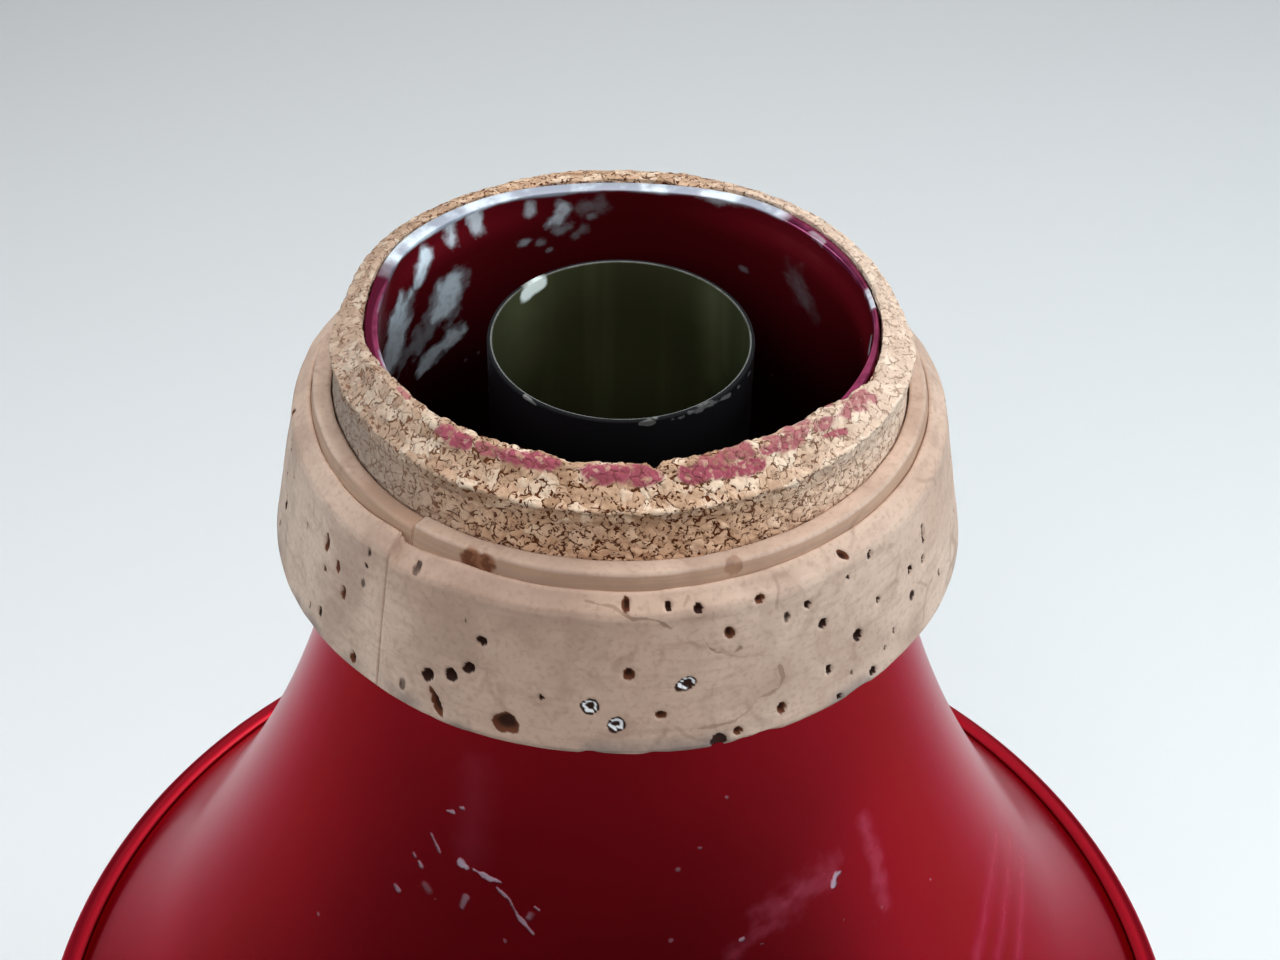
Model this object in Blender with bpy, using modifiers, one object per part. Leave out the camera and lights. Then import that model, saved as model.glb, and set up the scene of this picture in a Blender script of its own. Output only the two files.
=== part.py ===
"""Trumpet wah-wah mute: a spun red body with a corked neck, and a stem that slides in the base.

Run with: blender --background --python part.py
The mute stands on the rim of its stem cup, at the origin, with its mouth up (+Z). Units are metres.
"""

import math

import bmesh
import bpy
from mathutils import Matrix

MM = 0.001

# Spun body
SHEET = 0.8 * MM                # thickness of the spun sheet
BODY_LENGTH = 120.0 * MM        # mouth rim to base
MOUTH_RADIUS = 15.3 * MM        # outer radius of the mouth rim
NECK_LENGTH = 14.5 * MM         # straight cone under the cork
NECK_GAIN = 1.9 * MM            # radius that the neck gains over its length
FLARE_LENGTH = 52.0 * MM        # neck foot to the seam
FLARE_END_RADIUS = 42.1 * MM    # outer radius where the flare meets the seam
FLARE_START_SLOPE = 0.2         # radius gained per unit of drop at the neck foot
BASE_FLAT_RADIUS = 17.0 * MM    # flat land round the collar

# Folded seam between the two shells
SEAM_FLANGE_WIDTH = 1.0 * MM    # flange that the base hem folds over
FOLD_GAP = 0.3 * MM             # room between the flange and the hem

# Cork on the neck
CORK_RISE = 1.2 * MM            # cork above the mouth rim
CORK_OVERHANG = 0.5 * MM        # reach of the cork's top in over the mouth rim
SLEEVE_RIDGE = 2.1 * MM         # sleeve beyond the mouth rim at its widest bare line
SLEEVE_RIDGE_DROP = 0.5 * MM    # that line below the mouth rim
SLEEVE_WAIST = 1.3 * MM         # sleeve beyond the neck where the wraps start
SLEEVE_FOOT = 1.9 * MM          # sleeve beyond the neck at its foot
CORK_FOOT_DROP = 14.4 * MM      # foot of all cork below the mouth rim
INNER_WRAP_DROP = 3.6 * MM      # top of the inner wrap below the mouth rim
INNER_WRAP_THICKNESS = 1.0 * MM
OUTER_WRAP_DROP = 4.3 * MM      # top of the outer wrap below the mouth rim
OUTER_WRAP_THICKNESS = 1.0 * MM
OUTER_WRAP_BEVEL = 1.3 * MM     # height of its worn top edge
GLUE_GAP = 0.1 * MM             # between glued cork layers
BUTT_GAP = 0.4 * MM             # where the two ends of a wrap meet
INNER_BUTT_ANGLE = -39.0        # degrees round from the front, left is negative
OUTER_BUTT_ANGLE = -42.5

# Sliding stem and its collar
STEM_RADIUS = 8.15 * MM
STEM_WALL = 0.6 * MM
STEM_RECESS = 1.2 * MM          # stem end below the mouth rim
STEM_CLEARANCE = 0.3 * MM       # stem to cork lining
LINING_THICKNESS = 0.8 * MM
LINING_LENGTH = 10.5 * MM
COLLAR_WALL = 0.8 * MM
COLLAR_LENGTH = 12.0 * MM       # inside the base
COLLAR_LAND = 3.7 * MM          # flange beyond the collar's wall
COLLAR_FLANGE = 1.0 * MM
SEAT_GAP = 0.3 * MM             # between faces that seat on each other

# Flared cup on the stem
CUP_HEIGHT = 19.0 * MM
CUP_SOCKET = 8.0 * MM           # length that grips the stem
CUP_SHEET = 0.7 * MM
CUP_FLARE_RADIUS = 20.6 * MM    # radius where the flare turns into the rim
CUP_RIM_RADIUS = 22.6 * MM

STEPS = 40                      # sides of a turned piece
FLARE_POINTS = 11
BOWL_POINTS = 10
CUP_POINTS = 8
FOLD_POINTS = 6

COLLECTION = "wah_wah_mute"
CUTTERS = "cutters"

# Heights that follow from the sizes above
CUP_TOP = CUP_HEIGHT
FLANGE_FOOT = CUP_TOP + SEAT_GAP
FLANGE_TOP = FLANGE_FOOT + COLLAR_FLANGE
BASE_LEVEL = FLANGE_TOP + SEAT_GAP
MOUTH_LEVEL = BASE_LEVEL + BODY_LENGTH
NECK_FOOT_LEVEL = MOUTH_LEVEL - NECK_LENGTH
SEAM_LEVEL = NECK_FOOT_LEVEL - FLARE_LENGTH
CORK_FOOT_LEVEL = MOUTH_LEVEL - CORK_FOOT_DROP
WAIST_LEVEL = MOUTH_LEVEL - INNER_WRAP_DROP

# Radii that follow from the sizes above
NECK_FOOT_RADIUS = MOUTH_RADIUS + NECK_GAIN
LINING_BORE = STEM_RADIUS + STEM_CLEARANCE
COLLAR_BORE = LINING_BORE + LINING_THICKNESS + GLUE_GAP
COLLAR_RADIUS = COLLAR_BORE + COLLAR_WALL
COLLAR_FLANGE_RADIUS = COLLAR_RADIUS + COLLAR_LAND
BASE_HOLE_RADIUS = COLLAR_RADIUS + SEAT_GAP
CUP_SOCKET_BORE = STEM_RADIUS + GLUE_GAP
SEAM_FLANGE_RADIUS = FLARE_END_RADIUS + SEAM_FLANGE_WIDTH


def clear_scene():
    """Remove every object of the startup scene."""
    for obj in list(bpy.data.objects):
        bpy.data.objects.remove(obj, do_unlink=True)


def new_collection(name):
    """Make a collection and link it to the scene."""
    made = bpy.data.collections.new(name)
    bpy.context.scene.collection.children.link(made)
    return made


def finish(name, colour, roughness, metallic):
    """Make a Principled material."""
    made = bpy.data.materials.new(name)
    made.use_nodes = True
    shader = made.node_tree.nodes["Principled BSDF"]
    shader.inputs["Base Color"].default_value = (*colour, 1.0)
    shader.inputs["Roughness"].default_value = roughness
    shader.inputs["Metallic"].default_value = metallic
    return made


def turned(name, outline, material, collection, closed=True, sheet=None):
    """Turn an outline of (radius, height) points about Z.

    A closed outline runs down the outer side and up the inner one. An open one is the outer line
    of a sheet, which gets its thickness on the inside.
    """
    mesh = bpy.data.meshes.new(name)
    points = bmesh.new()
    line = [points.verts.new((radius, 0.0, height)) for radius, height in outline]
    pairs = list(zip(line, line[1:]))
    if closed:
        pairs.append((line[-1], line[0]))
    for pair in pairs:
        points.edges.new(pair)
    points.to_mesh(mesh)
    points.free()
    obj = bpy.data.objects.new(name, mesh)
    collection.objects.link(obj)
    obj.data.materials.append(material)
    screw = obj.modifiers.new("turn", "SCREW")
    screw.axis = "Z"
    screw.angle = math.tau
    screw.steps = STEPS
    screw.render_steps = STEPS
    screw.use_merge_vertices = False
    screw.use_smooth_shade = True
    if sheet:
        wall = obj.modifiers.new("sheet", "SOLIDIFY")
        wall.thickness = sheet
        wall.offset = -1.0
        wall.use_even_offset = True
        wall.use_rim = True
    return obj


def butt_joint(obj, angle, depth, cutters):
    """Part a wrapped ring where its two ends meet, at an angle round from the front."""
    mesh = bpy.data.meshes.new(obj.name + "_butt")
    box = bmesh.new()
    bmesh.ops.create_cube(box, size=1.0)
    turn = Matrix.Rotation(math.radians(angle), 4, "Z")
    reach = Matrix.Translation((0.0, -depth, CORK_FOOT_LEVEL + CORK_FOOT_DROP / 2))
    size = Matrix.Diagonal((BUTT_GAP, depth, 2 * CORK_FOOT_DROP, 1.0))
    bmesh.ops.transform(box, matrix=turn @ reach @ size, verts=box.verts)
    box.to_mesh(mesh)
    box.free()
    cutter = bpy.data.objects.new(obj.name + "_butt", mesh)
    cutters.objects.link(cutter)
    cutter.hide_render = True
    cutter.display_type = "WIRE"
    cut = obj.modifiers.new("butt joint", "BOOLEAN")
    cut.operation = "DIFFERENCE"
    cut.object = cutter


def neck_radius(height):
    """Outer radius of the neck's cone at a height."""
    return MOUTH_RADIUS + NECK_GAIN * (MOUTH_LEVEL - height) / NECK_LENGTH


def flare_radius(drop):
    """Outer radius of the flare, a parabola with a start slope, at a drop below the neck foot."""
    gained = FLARE_START_SLOPE * FLARE_LENGTH
    rest = FLARE_END_RADIUS - NECK_FOOT_RADIUS - gained
    return NECK_FOOT_RADIUS + FLARE_START_SLOPE * drop + rest * (drop / FLARE_LENGTH) ** 2


def sleeve_radius(height):
    """Outer radius of the cork sleeve where the wraps lie on it."""
    share = (WAIST_LEVEL - height) / (WAIST_LEVEL - CORK_FOOT_LEVEL)
    return neck_radius(height) + SLEEVE_WAIST + (SLEEVE_FOOT - SLEEVE_WAIST) * share


def neck_shell(material, collection):
    """Upper shell: mouth, neck, flare and the flat flange of the seam."""
    line = [(MOUTH_RADIUS, MOUTH_LEVEL)]
    for i in range(FLARE_POINTS):
        drop = FLARE_LENGTH * i / (FLARE_POINTS - 1)
        line.append((flare_radius(drop), NECK_FOOT_LEVEL - drop))
    line.append((SEAM_FLANGE_RADIUS, SEAM_LEVEL))
    return turned("neck_shell", line, material, collection, closed=False, sheet=SHEET)


def base_shell(material, collection):
    """Lower shell: a hem folded over the seam flange, a bowl and a flat base with a hole."""
    lip_top = SEAM_LEVEL + FOLD_GAP + SHEET
    lip_foot = SEAM_LEVEL - SHEET - FOLD_GAP - SHEET
    fold = (lip_top - lip_foot) / 2
    middle = (lip_top + lip_foot) / 2
    line = [(FLARE_END_RADIUS + FOLD_GAP, lip_top)]
    for i in range(FOLD_POINTS + 1):
        angle = math.pi / 2 - math.pi * i / FOLD_POINTS
        line.append((SEAM_FLANGE_RADIUS + fold * math.cos(angle), middle + fold * math.sin(angle)))
    bowl_radius = FLARE_END_RADIUS - SHEET
    bowl_depth = lip_foot - BASE_LEVEL
    for i in range(BOWL_POINTS):
        angle = math.pi / 2 * i / (BOWL_POINTS - 1)
        radius = BASE_FLAT_RADIUS + (bowl_radius - BASE_FLAT_RADIUS) * math.cos(angle)
        line.append((radius, lip_foot - bowl_depth * math.sin(angle)))
    line.append((BASE_HOLE_RADIUS, BASE_LEVEL))
    return turned("base_shell", line, material, collection, closed=False, sheet=SHEET)


def stem_collar(material, collection):
    """Flanged bush in the base hole, which guides the stem."""
    top = BASE_LEVEL + COLLAR_LENGTH
    outline = [
        (COLLAR_RADIUS, top),
        (COLLAR_RADIUS, FLANGE_TOP),
        (COLLAR_FLANGE_RADIUS, FLANGE_TOP),
        (COLLAR_FLANGE_RADIUS, FLANGE_FOOT),
        (LINING_BORE, FLANGE_FOOT),
        (LINING_BORE, FLANGE_TOP),
        (COLLAR_BORE, FLANGE_TOP),
        (COLLAR_BORE, top),
    ]
    return turned("stem_collar", outline, material, collection)


def collar_lining(material, collection):
    """Thin cork tube in the collar, which grips the stem."""
    foot = FLANGE_TOP + GLUE_GAP
    radius = LINING_BORE + LINING_THICKNESS
    outline = [
        (radius, foot + LINING_LENGTH),
        (radius, foot),
        (LINING_BORE, foot),
        (LINING_BORE, foot + LINING_LENGTH),
    ]
    return turned("collar_lining", outline, material, collection)


def cork_sleeve(material, collection):
    """Ring of pressed cork grains on the neck, standing a little above the mouth rim."""
    top = MOUTH_LEVEL + CORK_RISE
    ridge = MOUTH_LEVEL - SLEEVE_RIDGE_DROP
    shelf = MOUTH_LEVEL + GLUE_GAP
    lip_radius = MOUTH_RADIUS - CORK_OVERHANG
    ridge_radius = MOUTH_RADIUS + SLEEVE_RIDGE
    outline = [
        (lip_radius + (ridge_radius - lip_radius) / 3, top),
        (ridge_radius, ridge),
        (ridge_radius, ridge - SLEEVE_RIDGE_DROP),
        (sleeve_radius(WAIST_LEVEL), WAIST_LEVEL),
        (sleeve_radius(CORK_FOOT_LEVEL), CORK_FOOT_LEVEL),
        (neck_radius(CORK_FOOT_LEVEL) + GLUE_GAP, CORK_FOOT_LEVEL),
        (MOUTH_RADIUS + GLUE_GAP, shelf),
        (lip_radius, shelf),
        (lip_radius, top - CORK_RISE / 4),
    ]
    return turned("cork_sleeve", outline, material, collection)


def cork_inner_wrap(material, collection, cutters):
    """First strip of natural cork round the sleeve, butted at its ends."""
    inner_top = sleeve_radius(WAIST_LEVEL) + GLUE_GAP
    inner_foot = sleeve_radius(CORK_FOOT_LEVEL) + GLUE_GAP
    outline = [
        (inner_top + INNER_WRAP_THICKNESS, WAIST_LEVEL),
        (inner_foot + INNER_WRAP_THICKNESS, CORK_FOOT_LEVEL),
        (inner_foot, CORK_FOOT_LEVEL),
        (inner_top, WAIST_LEVEL),
    ]
    obj = turned("cork_inner_wrap", outline, material, collection)
    butt_joint(obj, INNER_BUTT_ANGLE, inner_foot, cutters)
    return obj


def cork_outer_wrap(material, collection, cutters):
    """Second strip of natural cork, lower than the first, with a worn top edge."""
    top = MOUTH_LEVEL - OUTER_WRAP_DROP
    bevel = top - OUTER_WRAP_BEVEL
    under = GLUE_GAP + INNER_WRAP_THICKNESS + GLUE_GAP
    inner_top = sleeve_radius(top) + under
    inner_foot = sleeve_radius(CORK_FOOT_LEVEL) + under
    outer_bevel = sleeve_radius(bevel) + under + OUTER_WRAP_THICKNESS
    outline = [
        (inner_top + OUTER_WRAP_THICKNESS / 2, top),
        (outer_bevel, bevel),
        (inner_foot + OUTER_WRAP_THICKNESS, CORK_FOOT_LEVEL),
        (inner_foot, CORK_FOOT_LEVEL),
        (inner_top, top),
    ]
    obj = turned("cork_outer_wrap", outline, material, collection)
    butt_joint(obj, OUTER_BUTT_ANGLE, inner_foot, cutters)
    return obj


def stem_tube(material, collection):
    """Straight tube from the cup's socket to just under the mouth rim."""
    top = MOUTH_LEVEL - STEM_RECESS
    foot = CUP_TOP - CUP_SOCKET
    outline = [
        (STEM_RADIUS, top),
        (STEM_RADIUS, foot),
        (STEM_RADIUS - STEM_WALL, foot),
        (STEM_RADIUS - STEM_WALL, top),
    ]
    return turned("stem_tube", outline, material, collection)


def stem_cup(material, collection):
    """Flared cup on the stem's foot, with a flat rim that the mute stands on."""
    socket_radius = CUP_SOCKET_BORE + CUP_SHEET
    socket_foot = CUP_TOP - CUP_SOCKET
    flare_width = CUP_FLARE_RADIUS - socket_radius
    flare_drop = socket_foot - CUP_SHEET
    line = [(socket_radius, CUP_TOP)]
    for i in range(CUP_POINTS):
        angle = math.pi / 2 * i / (CUP_POINTS - 1)
        radius = socket_radius + flare_width * (1 - math.cos(angle))
        line.append((radius, socket_foot - flare_drop * math.sin(angle)))
    line.append((CUP_RIM_RADIUS, CUP_SHEET))
    return turned("stem_cup", line, material, collection, closed=False, sheet=CUP_SHEET)


def main():
    """Build the mute."""
    clear_scene()
    parts = new_collection(COLLECTION)
    cutters = new_collection(CUTTERS)
    red = finish("red lacquer", (0.28, 0.004, 0.012), 0.16, 0.85)
    black = finish("black stem", (0.012, 0.012, 0.012), 0.35, 0.2)
    bare = finish("bare aluminium", (0.62, 0.62, 0.62), 0.3, 1.0)
    grain_cork = finish("grain cork", (0.46, 0.28, 0.15), 0.9, 0.0)
    sheet_cork = finish("sheet cork", (0.52, 0.36, 0.24), 0.75, 0.0)
    neck_shell(red, parts)
    base_shell(red, parts)
    stem_collar(bare, parts)
    collar_lining(sheet_cork, parts)
    cork_sleeve(grain_cork, parts)
    cork_inner_wrap(sheet_cork, parts, cutters)
    cork_outer_wrap(sheet_cork, parts, cutters)
    stem_tube(black, parts)
    stem_cup(black, parts)


main()
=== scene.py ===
"""Looks of a trumpet wah-wah mute: spun red shells, layered neck cork and a black sliding stem.

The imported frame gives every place. Each sub-assembly is a class that turns its pieces, shapes them and
dresses them. Lengths are in metres unless a name says otherwise, angles run round from the front with
the right positive, and pixels are those of the 1280 x 960 photograph.
"""

import logging
import math
import random
from dataclasses import dataclass
from enum import Enum
from typing import Iterable, Optional, Sequence, Union

import bpy
import numpy as np
from mathutils import Matrix, Vector, noise


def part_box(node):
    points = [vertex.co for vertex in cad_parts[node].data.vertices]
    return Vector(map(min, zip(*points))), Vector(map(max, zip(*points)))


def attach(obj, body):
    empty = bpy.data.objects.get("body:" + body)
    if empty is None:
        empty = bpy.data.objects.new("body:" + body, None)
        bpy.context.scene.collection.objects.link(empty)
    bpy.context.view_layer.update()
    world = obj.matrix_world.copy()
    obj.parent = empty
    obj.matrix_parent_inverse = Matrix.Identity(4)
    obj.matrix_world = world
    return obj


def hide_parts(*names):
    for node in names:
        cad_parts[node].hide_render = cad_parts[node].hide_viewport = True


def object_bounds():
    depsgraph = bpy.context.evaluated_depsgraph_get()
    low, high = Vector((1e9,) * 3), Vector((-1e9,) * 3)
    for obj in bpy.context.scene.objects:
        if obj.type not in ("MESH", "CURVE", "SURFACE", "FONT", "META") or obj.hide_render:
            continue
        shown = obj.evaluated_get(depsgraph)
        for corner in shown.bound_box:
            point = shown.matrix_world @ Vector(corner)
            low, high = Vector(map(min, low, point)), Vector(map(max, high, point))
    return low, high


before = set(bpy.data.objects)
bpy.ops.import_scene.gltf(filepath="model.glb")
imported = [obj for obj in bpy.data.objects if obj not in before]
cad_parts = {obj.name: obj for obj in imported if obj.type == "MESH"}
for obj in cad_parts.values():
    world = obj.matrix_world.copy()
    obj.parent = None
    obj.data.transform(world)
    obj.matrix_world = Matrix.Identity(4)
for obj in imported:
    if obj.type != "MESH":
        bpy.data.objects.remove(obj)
CAD_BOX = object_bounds()

LOG = logging.getLogger("mute")
MM = 0.001
WELD = 0.001 * MM
PORES = "pores"
INSIDE = "inside"
HEMMED = "base_shell"

Piece = bpy.types.Object
Material = bpy.types.Material
Socket = bpy.types.NodeSocket
Outline = list[tuple[float, float]]
Pixel = tuple[float, float]
Range = tuple[float, float]
Waves = tuple[Range, ...]
Direction = tuple[float, float, float]
Colour = tuple[float, float, float]
Value = Union[float, Sequence[float], Socket]


class Body(Enum):
    """Bodies of the frame that pieces ride on."""

    MUTE = "mute_body"
    STEM = "stem"


class Slot(Enum):
    """Material slots of the record."""

    LACQUER = "red_lacquer"
    GRAIN = "grain_cork"
    SHEET = "sheet_cork"
    BLACK = "black_stem"
    METAL = "bare_metal"


class Filling(Enum):
    """What a pore of the natural cork holds."""

    DARK = "dark"
    BROWN = "brown"
    GREY = "grey"
    CHALK = "chalk"


@dataclass(frozen=True)
class PhotoCamera:
    """Pinhole camera of the photograph, placed from the centre of the mute's mouth."""

    width: int = 1280
    height: int = 960
    focal: float = 2000.0
    sensor: float = 36.0
    back: float = 95.6 * MM
    rise: float = 68.0 * MM
    yaw: float = 0.0137
    pitch: float = 0.6993
    roll: float = 0.0228

    def eye(self) -> Vector:
        """Place of the pinhole."""
        return Vector((0.0, -self.back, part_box("neck_shell")[1].z + self.rise))

    def axes(self) -> tuple[Vector, Vector, Vector]:
        """Directions to the right, up and forward."""
        level = math.cos(self.pitch)
        forward = Vector((math.sin(self.yaw) * level, math.cos(self.yaw) * level, -math.sin(self.pitch)))
        side = Vector((math.cos(self.yaw), -math.sin(self.yaw), 0.0))
        top = side.cross(forward)
        right = side * math.cos(self.roll) + top * math.sin(self.roll)
        up = top * math.cos(self.roll) - side * math.sin(self.roll)
        return right, up, forward

    def cast(self, obj: Piece, pixel: Pixel) -> Optional[Vector]:
        """Find the point of a piece that a pixel shows.

        Args:
            obj: Piece at the origin, unturned.
            pixel: Place in the photograph.

        Returns:
            The first point hit, or None where the pixel misses the piece.
        """
        right, up, forward = self.axes()
        across = pixel[0] - self.width / 2
        down = pixel[1] - self.height / 2
        direction = forward * self.focal + right * across - up * down
        hit, place, _, _ = obj.ray_cast(self.eye(), direction.normalized())
        if not hit:
            LOG.warning("%s: pixel %s misses", obj.name, pixel)
        return place if hit else None

    def add(self) -> None:
        """Put the camera in the scene and make it the active one."""
        right, up, forward = self.axes()
        data = bpy.data.cameras.new("photo_camera")
        data.lens = self.focal * self.sensor / self.width
        data.sensor_width = self.sensor
        data.clip_start = 1 * MM
        camera = bpy.data.objects.new("photo_camera", data)
        bpy.context.scene.collection.objects.link(camera)
        turned = Matrix((right, up, -forward)).transposed().to_4x4()
        camera.matrix_world = Matrix.Translation(self.eye()) @ turned
        bpy.context.scene.camera = camera


PHOTO = PhotoCamera()


@dataclass(frozen=True)
class Mark:
    """A scratch, smear or rub between two pixels of the photograph.

    Width is in millimetres, ragged is how far noise eats into it, strength is how much it shows, and soft
    is how far its edge fades as a share of the width.
    """

    start: Pixel
    end: Pixel
    width: float
    ragged: float = 0.4
    strength: float = 1.0
    soft: float = 0.12


@dataclass(frozen=True)
class Pore:
    """A pore of natural cork at a pixel, with its width, height and lean in millimetres and degrees."""

    at: Pixel
    wide: float
    tall: float
    filling: Filling = Filling.DARK
    lean: float = 0.0


PORE_DEPTHS_MM = {Filling.DARK: 0.42, Filling.BROWN: 0.34, Filling.GREY: 0.10, Filling.CHALK: 0.16}
FULL_DEPTH_WIDTH_MM = 0.45
HIDDEN_FILLINGS = [Filling.DARK, Filling.DARK, Filling.BROWN, Filling.BROWN, Filling.GREY]


@dataclass(frozen=True)
class Patch:
    """Patches of a noise: its scale and detail, the range of it that is eased, and from what to what."""

    scale: float
    detail: float
    low: float
    high: float
    least: float = 0.0
    most: float = 1.0
    distortion: float = 0.0


@dataclass(frozen=True)
class Bulge:
    """A bulge of the used mouth: its angle and spread in degrees, and its height in millimetres."""

    angle: float
    spread: float
    height: float


BULGES = (
    Bulge(-122.0, 19.0, 0.70),
    Bulge(126.0, 24.0, 0.45),
    Bulge(90.0, 26.0, 0.12),
    Bulge(148.0, 17.0, 0.50),
    Bulge(-148.0, 17.0, 0.50),
)


def trail(points: Sequence[Pixel], *style: float) -> tuple[Mark, ...]:
    """Marks of one style that join points one to the next, so that a line keeps to a curved piece."""
    return tuple(Mark(a, b, *style) for a, b in zip(points, points[1:]))


# Turning and shaping


def deselect() -> None:
    """Leave edit mode and select nothing."""
    active = bpy.context.object
    if active and active.mode != "OBJECT":
        bpy.ops.object.mode_set(mode="OBJECT")
    bpy.ops.object.select_all(action="DESELECT")


def arc(centre: tuple[float, float], radius: float, start: float, end: float, count: int = 6) -> Outline:
    """Points of an arc from one angle to another, in degrees from straight out towards up."""
    angles = [math.radians(start + (end - start) * i / count) for i in range(count + 1)]
    return [(centre[0] + radius * math.cos(a), centre[1] + radius * math.sin(a)) for a in angles]


def divide(line: Outline, spacing: float) -> Outline:
    """Put points on a line so that no stretch is longer than the spacing."""
    fine = [line[0]]
    for here, there in zip(line, line[1:]):
        count = max(1, math.ceil(math.dist(here, there) / spacing))
        for i in range(1, count + 1):
            share = i / count
            fine.append((here[0] + (there[0] - here[0]) * share, here[1] + (there[1] - here[1]) * share))
    return fine


def wall(line: Outline, thickness: float) -> Outline:
    """Close a sheet's outer line, drawn from top to bottom, with a parallel inner one.

    Args:
        line: Outer line of the sheet.
        thickness: Thickness towards the inside.

    Returns:
        A closed outline, whose last point is its first.
    """
    inner = []
    for i, point in enumerate(line):
        before = Vector(point) - Vector(line[i - 1]) if i else None
        after = Vector(line[i + 1]) - Vector(point) if i + 1 < len(line) else None
        first = (before or after).normalized()
        last = (after or before).normalized()
        along = (first + last).normalized()
        reach = thickness / max(0.5, along.dot(first))
        inner.append((point[0] + along.y * reach, point[1] - along.x * reach))
    return line + inner[::-1] + line[:1]


def turn(name: str, outline: Outline, steps: int, start: float = 0.0, gap: float = 0.0) -> Piece:
    """Extrude a closed outline point by point and turn it about Z.

    Args:
        name: Name of the piece.
        outline: Closed line of (radius, height) points.
        steps: Sides of the turned piece.
        start: Angle of the outline round from the front, in degrees.
        gap: Angle left open at the start, in degrees.

    Returns:
        The piece, closed and facing out.
    """
    angle = math.radians(start - 90.0)
    spoke = Vector((math.cos(angle), math.sin(angle), 0.0))
    places = [spoke * radius + Vector((0.0, 0.0, height)) for radius, height in outline]
    deselect()
    bpy.ops.mesh.primitive_plane_add(size=MM)
    obj = bpy.context.object
    obj.name = name
    obj.data.name = name
    bpy.ops.object.mode_set(mode="EDIT")
    bpy.ops.mesh.merge(type="CENTER")
    bpy.ops.transform.translate(value=places[0])
    for here, there in zip(places, places[1:]):
        bpy.ops.mesh.extrude_region_move(TRANSFORM_OT_translate={"value": there - here})
    bpy.ops.mesh.select_all(action="SELECT")
    bpy.ops.mesh.remove_doubles(threshold=WELD)
    bpy.ops.object.mode_set(mode="OBJECT")
    screw = obj.modifiers.new("turn", "SCREW")
    screw.angle = math.tau - math.radians(gap)
    screw.steps = screw.render_steps = steps
    screw.use_merge_vertices = False
    bpy.ops.object.modifier_apply(modifier=screw.name)
    bpy.ops.object.mode_set(mode="EDIT")
    bpy.ops.mesh.select_all(action="SELECT")
    bpy.ops.mesh.remove_doubles(threshold=WELD)
    if gap:
        bpy.ops.mesh.fill_holes(sides=0)
        bpy.ops.mesh.select_all(action="SELECT")
    bpy.ops.mesh.normals_make_consistent(inside=False)
    bpy.ops.object.mode_set(mode="OBJECT")
    bpy.ops.object.shade_smooth()
    return obj


def ease_edges(obj: Piece, width: float, angle: float = 35.0) -> None:
    """Round a metal piece's sharp edges."""
    deselect()
    obj.select_set(True)
    bpy.context.view_layer.objects.active = obj
    bevel = obj.modifiers.new("edges", "BEVEL")
    bevel.width = width
    bevel.segments = 3
    bevel.limit_method = "ANGLE"
    bevel.angle_limit = math.radians(angle)
    bpy.ops.object.modifier_apply(modifier=bevel.name)
    bpy.ops.object.shade_smooth_by_angle(angle=math.radians(angle))


def points_of(obj: Piece) -> tuple[np.ndarray, np.ndarray]:
    """Places and outward normals of a piece's vertices."""
    count = len(obj.data.vertices)
    places = np.empty(count * 3)
    normals = np.empty(count * 3)
    obj.data.vertices.foreach_get("co", places)
    obj.data.vertices.foreach_get("normal", normals)
    return places.reshape(-1, 3), normals.reshape(-1, 3)


def set_points(obj: Piece, places: np.ndarray) -> None:
    """Move a piece's vertices."""
    obj.data.vertices.foreach_set("co", places.ravel())
    obj.data.update()
    bpy.context.view_layer.update()


def rough(places: np.ndarray, scale: float, octaves: int = 2) -> np.ndarray:
    """Smooth noise about 0 at each place, with features of about 1 / scale."""
    return np.array([noise.fractal(Vector(p) * scale, 1.0, 2.0, octaves) for p in places])


def uneven(places: np.ndarray, waves: Waves, base: Union[float, np.ndarray] = 0.0) -> np.ndarray:
    """Noises added to a base, each given by its height and its scale."""
    return sum((height * rough(places, scale) for height, scale in waves), base)


def cells(places: np.ndarray, scale: float) -> np.ndarray:
    """Distance from each place to the border of its cell, as a share of a cell."""
    found = (noise.voronoi(Vector(p) * scale)[0] for p in places)
    return np.array([second - first for first, second, *_ in found])


def smooth(values: np.ndarray, low: float, high: float) -> np.ndarray:
    """Ease from 0 at low to 1 at high."""
    share = np.clip((values - low) / (high - low), 0.0, 1.0)
    return share * share * (3.0 - 2.0 * share)


def turn_of(places: np.ndarray) -> np.ndarray:
    """Angle of each place round from the front, in degrees, with the right positive."""
    return np.degrees(np.arctan2(places[:, 0], -places[:, 1]))


def reach_of(places: np.ndarray) -> np.ndarray:
    """Distance of each place from the axis."""
    return np.hypot(places[:, 0], places[:, 1])


def bell(turns: np.ndarray, centre: float, spread: float) -> np.ndarray:
    """Bump of height 1 about an angle, all in degrees."""
    return np.exp(-(((turns - centre) / spread) ** 2))


def push_out(places: np.ndarray, by: np.ndarray, reach: np.ndarray) -> None:
    """Move places that lie at a reach away from the axis."""
    places[:, :2] *= (1.0 + by / reach)[:, None]


def out_of_round(places: np.ndarray, mouth: float) -> np.ndarray:
    """How far the used mouth bulges at its right and at both sides of its back."""
    turns = turn_of(places)
    bulge = sum(b.height * bell(turns, b.angle, b.spread) for b in BULGES)
    return bulge * MM * smooth(places[:, 2], mouth - 2.6 * MM, mouth - 0.2 * MM)


def note_inside(obj: Piece) -> None:
    """Mark, in an attribute, where a hollow piece faces its own axis."""
    places, normals = points_of(obj)
    outward = (places[:, :2] * normals[:, :2]).sum(axis=1) / reach_of(places)
    layer = obj.data.attributes.new(INSIDE, "FLOAT", "POINT")
    layer.data.foreach_set("value", smooth(-outward, 0.2, 0.6).astype(np.float32))


def dress(obj: Piece, material: Material) -> None:
    """Give a piece its material."""
    obj.data.materials.clear()
    obj.data.materials.append(material)


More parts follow.
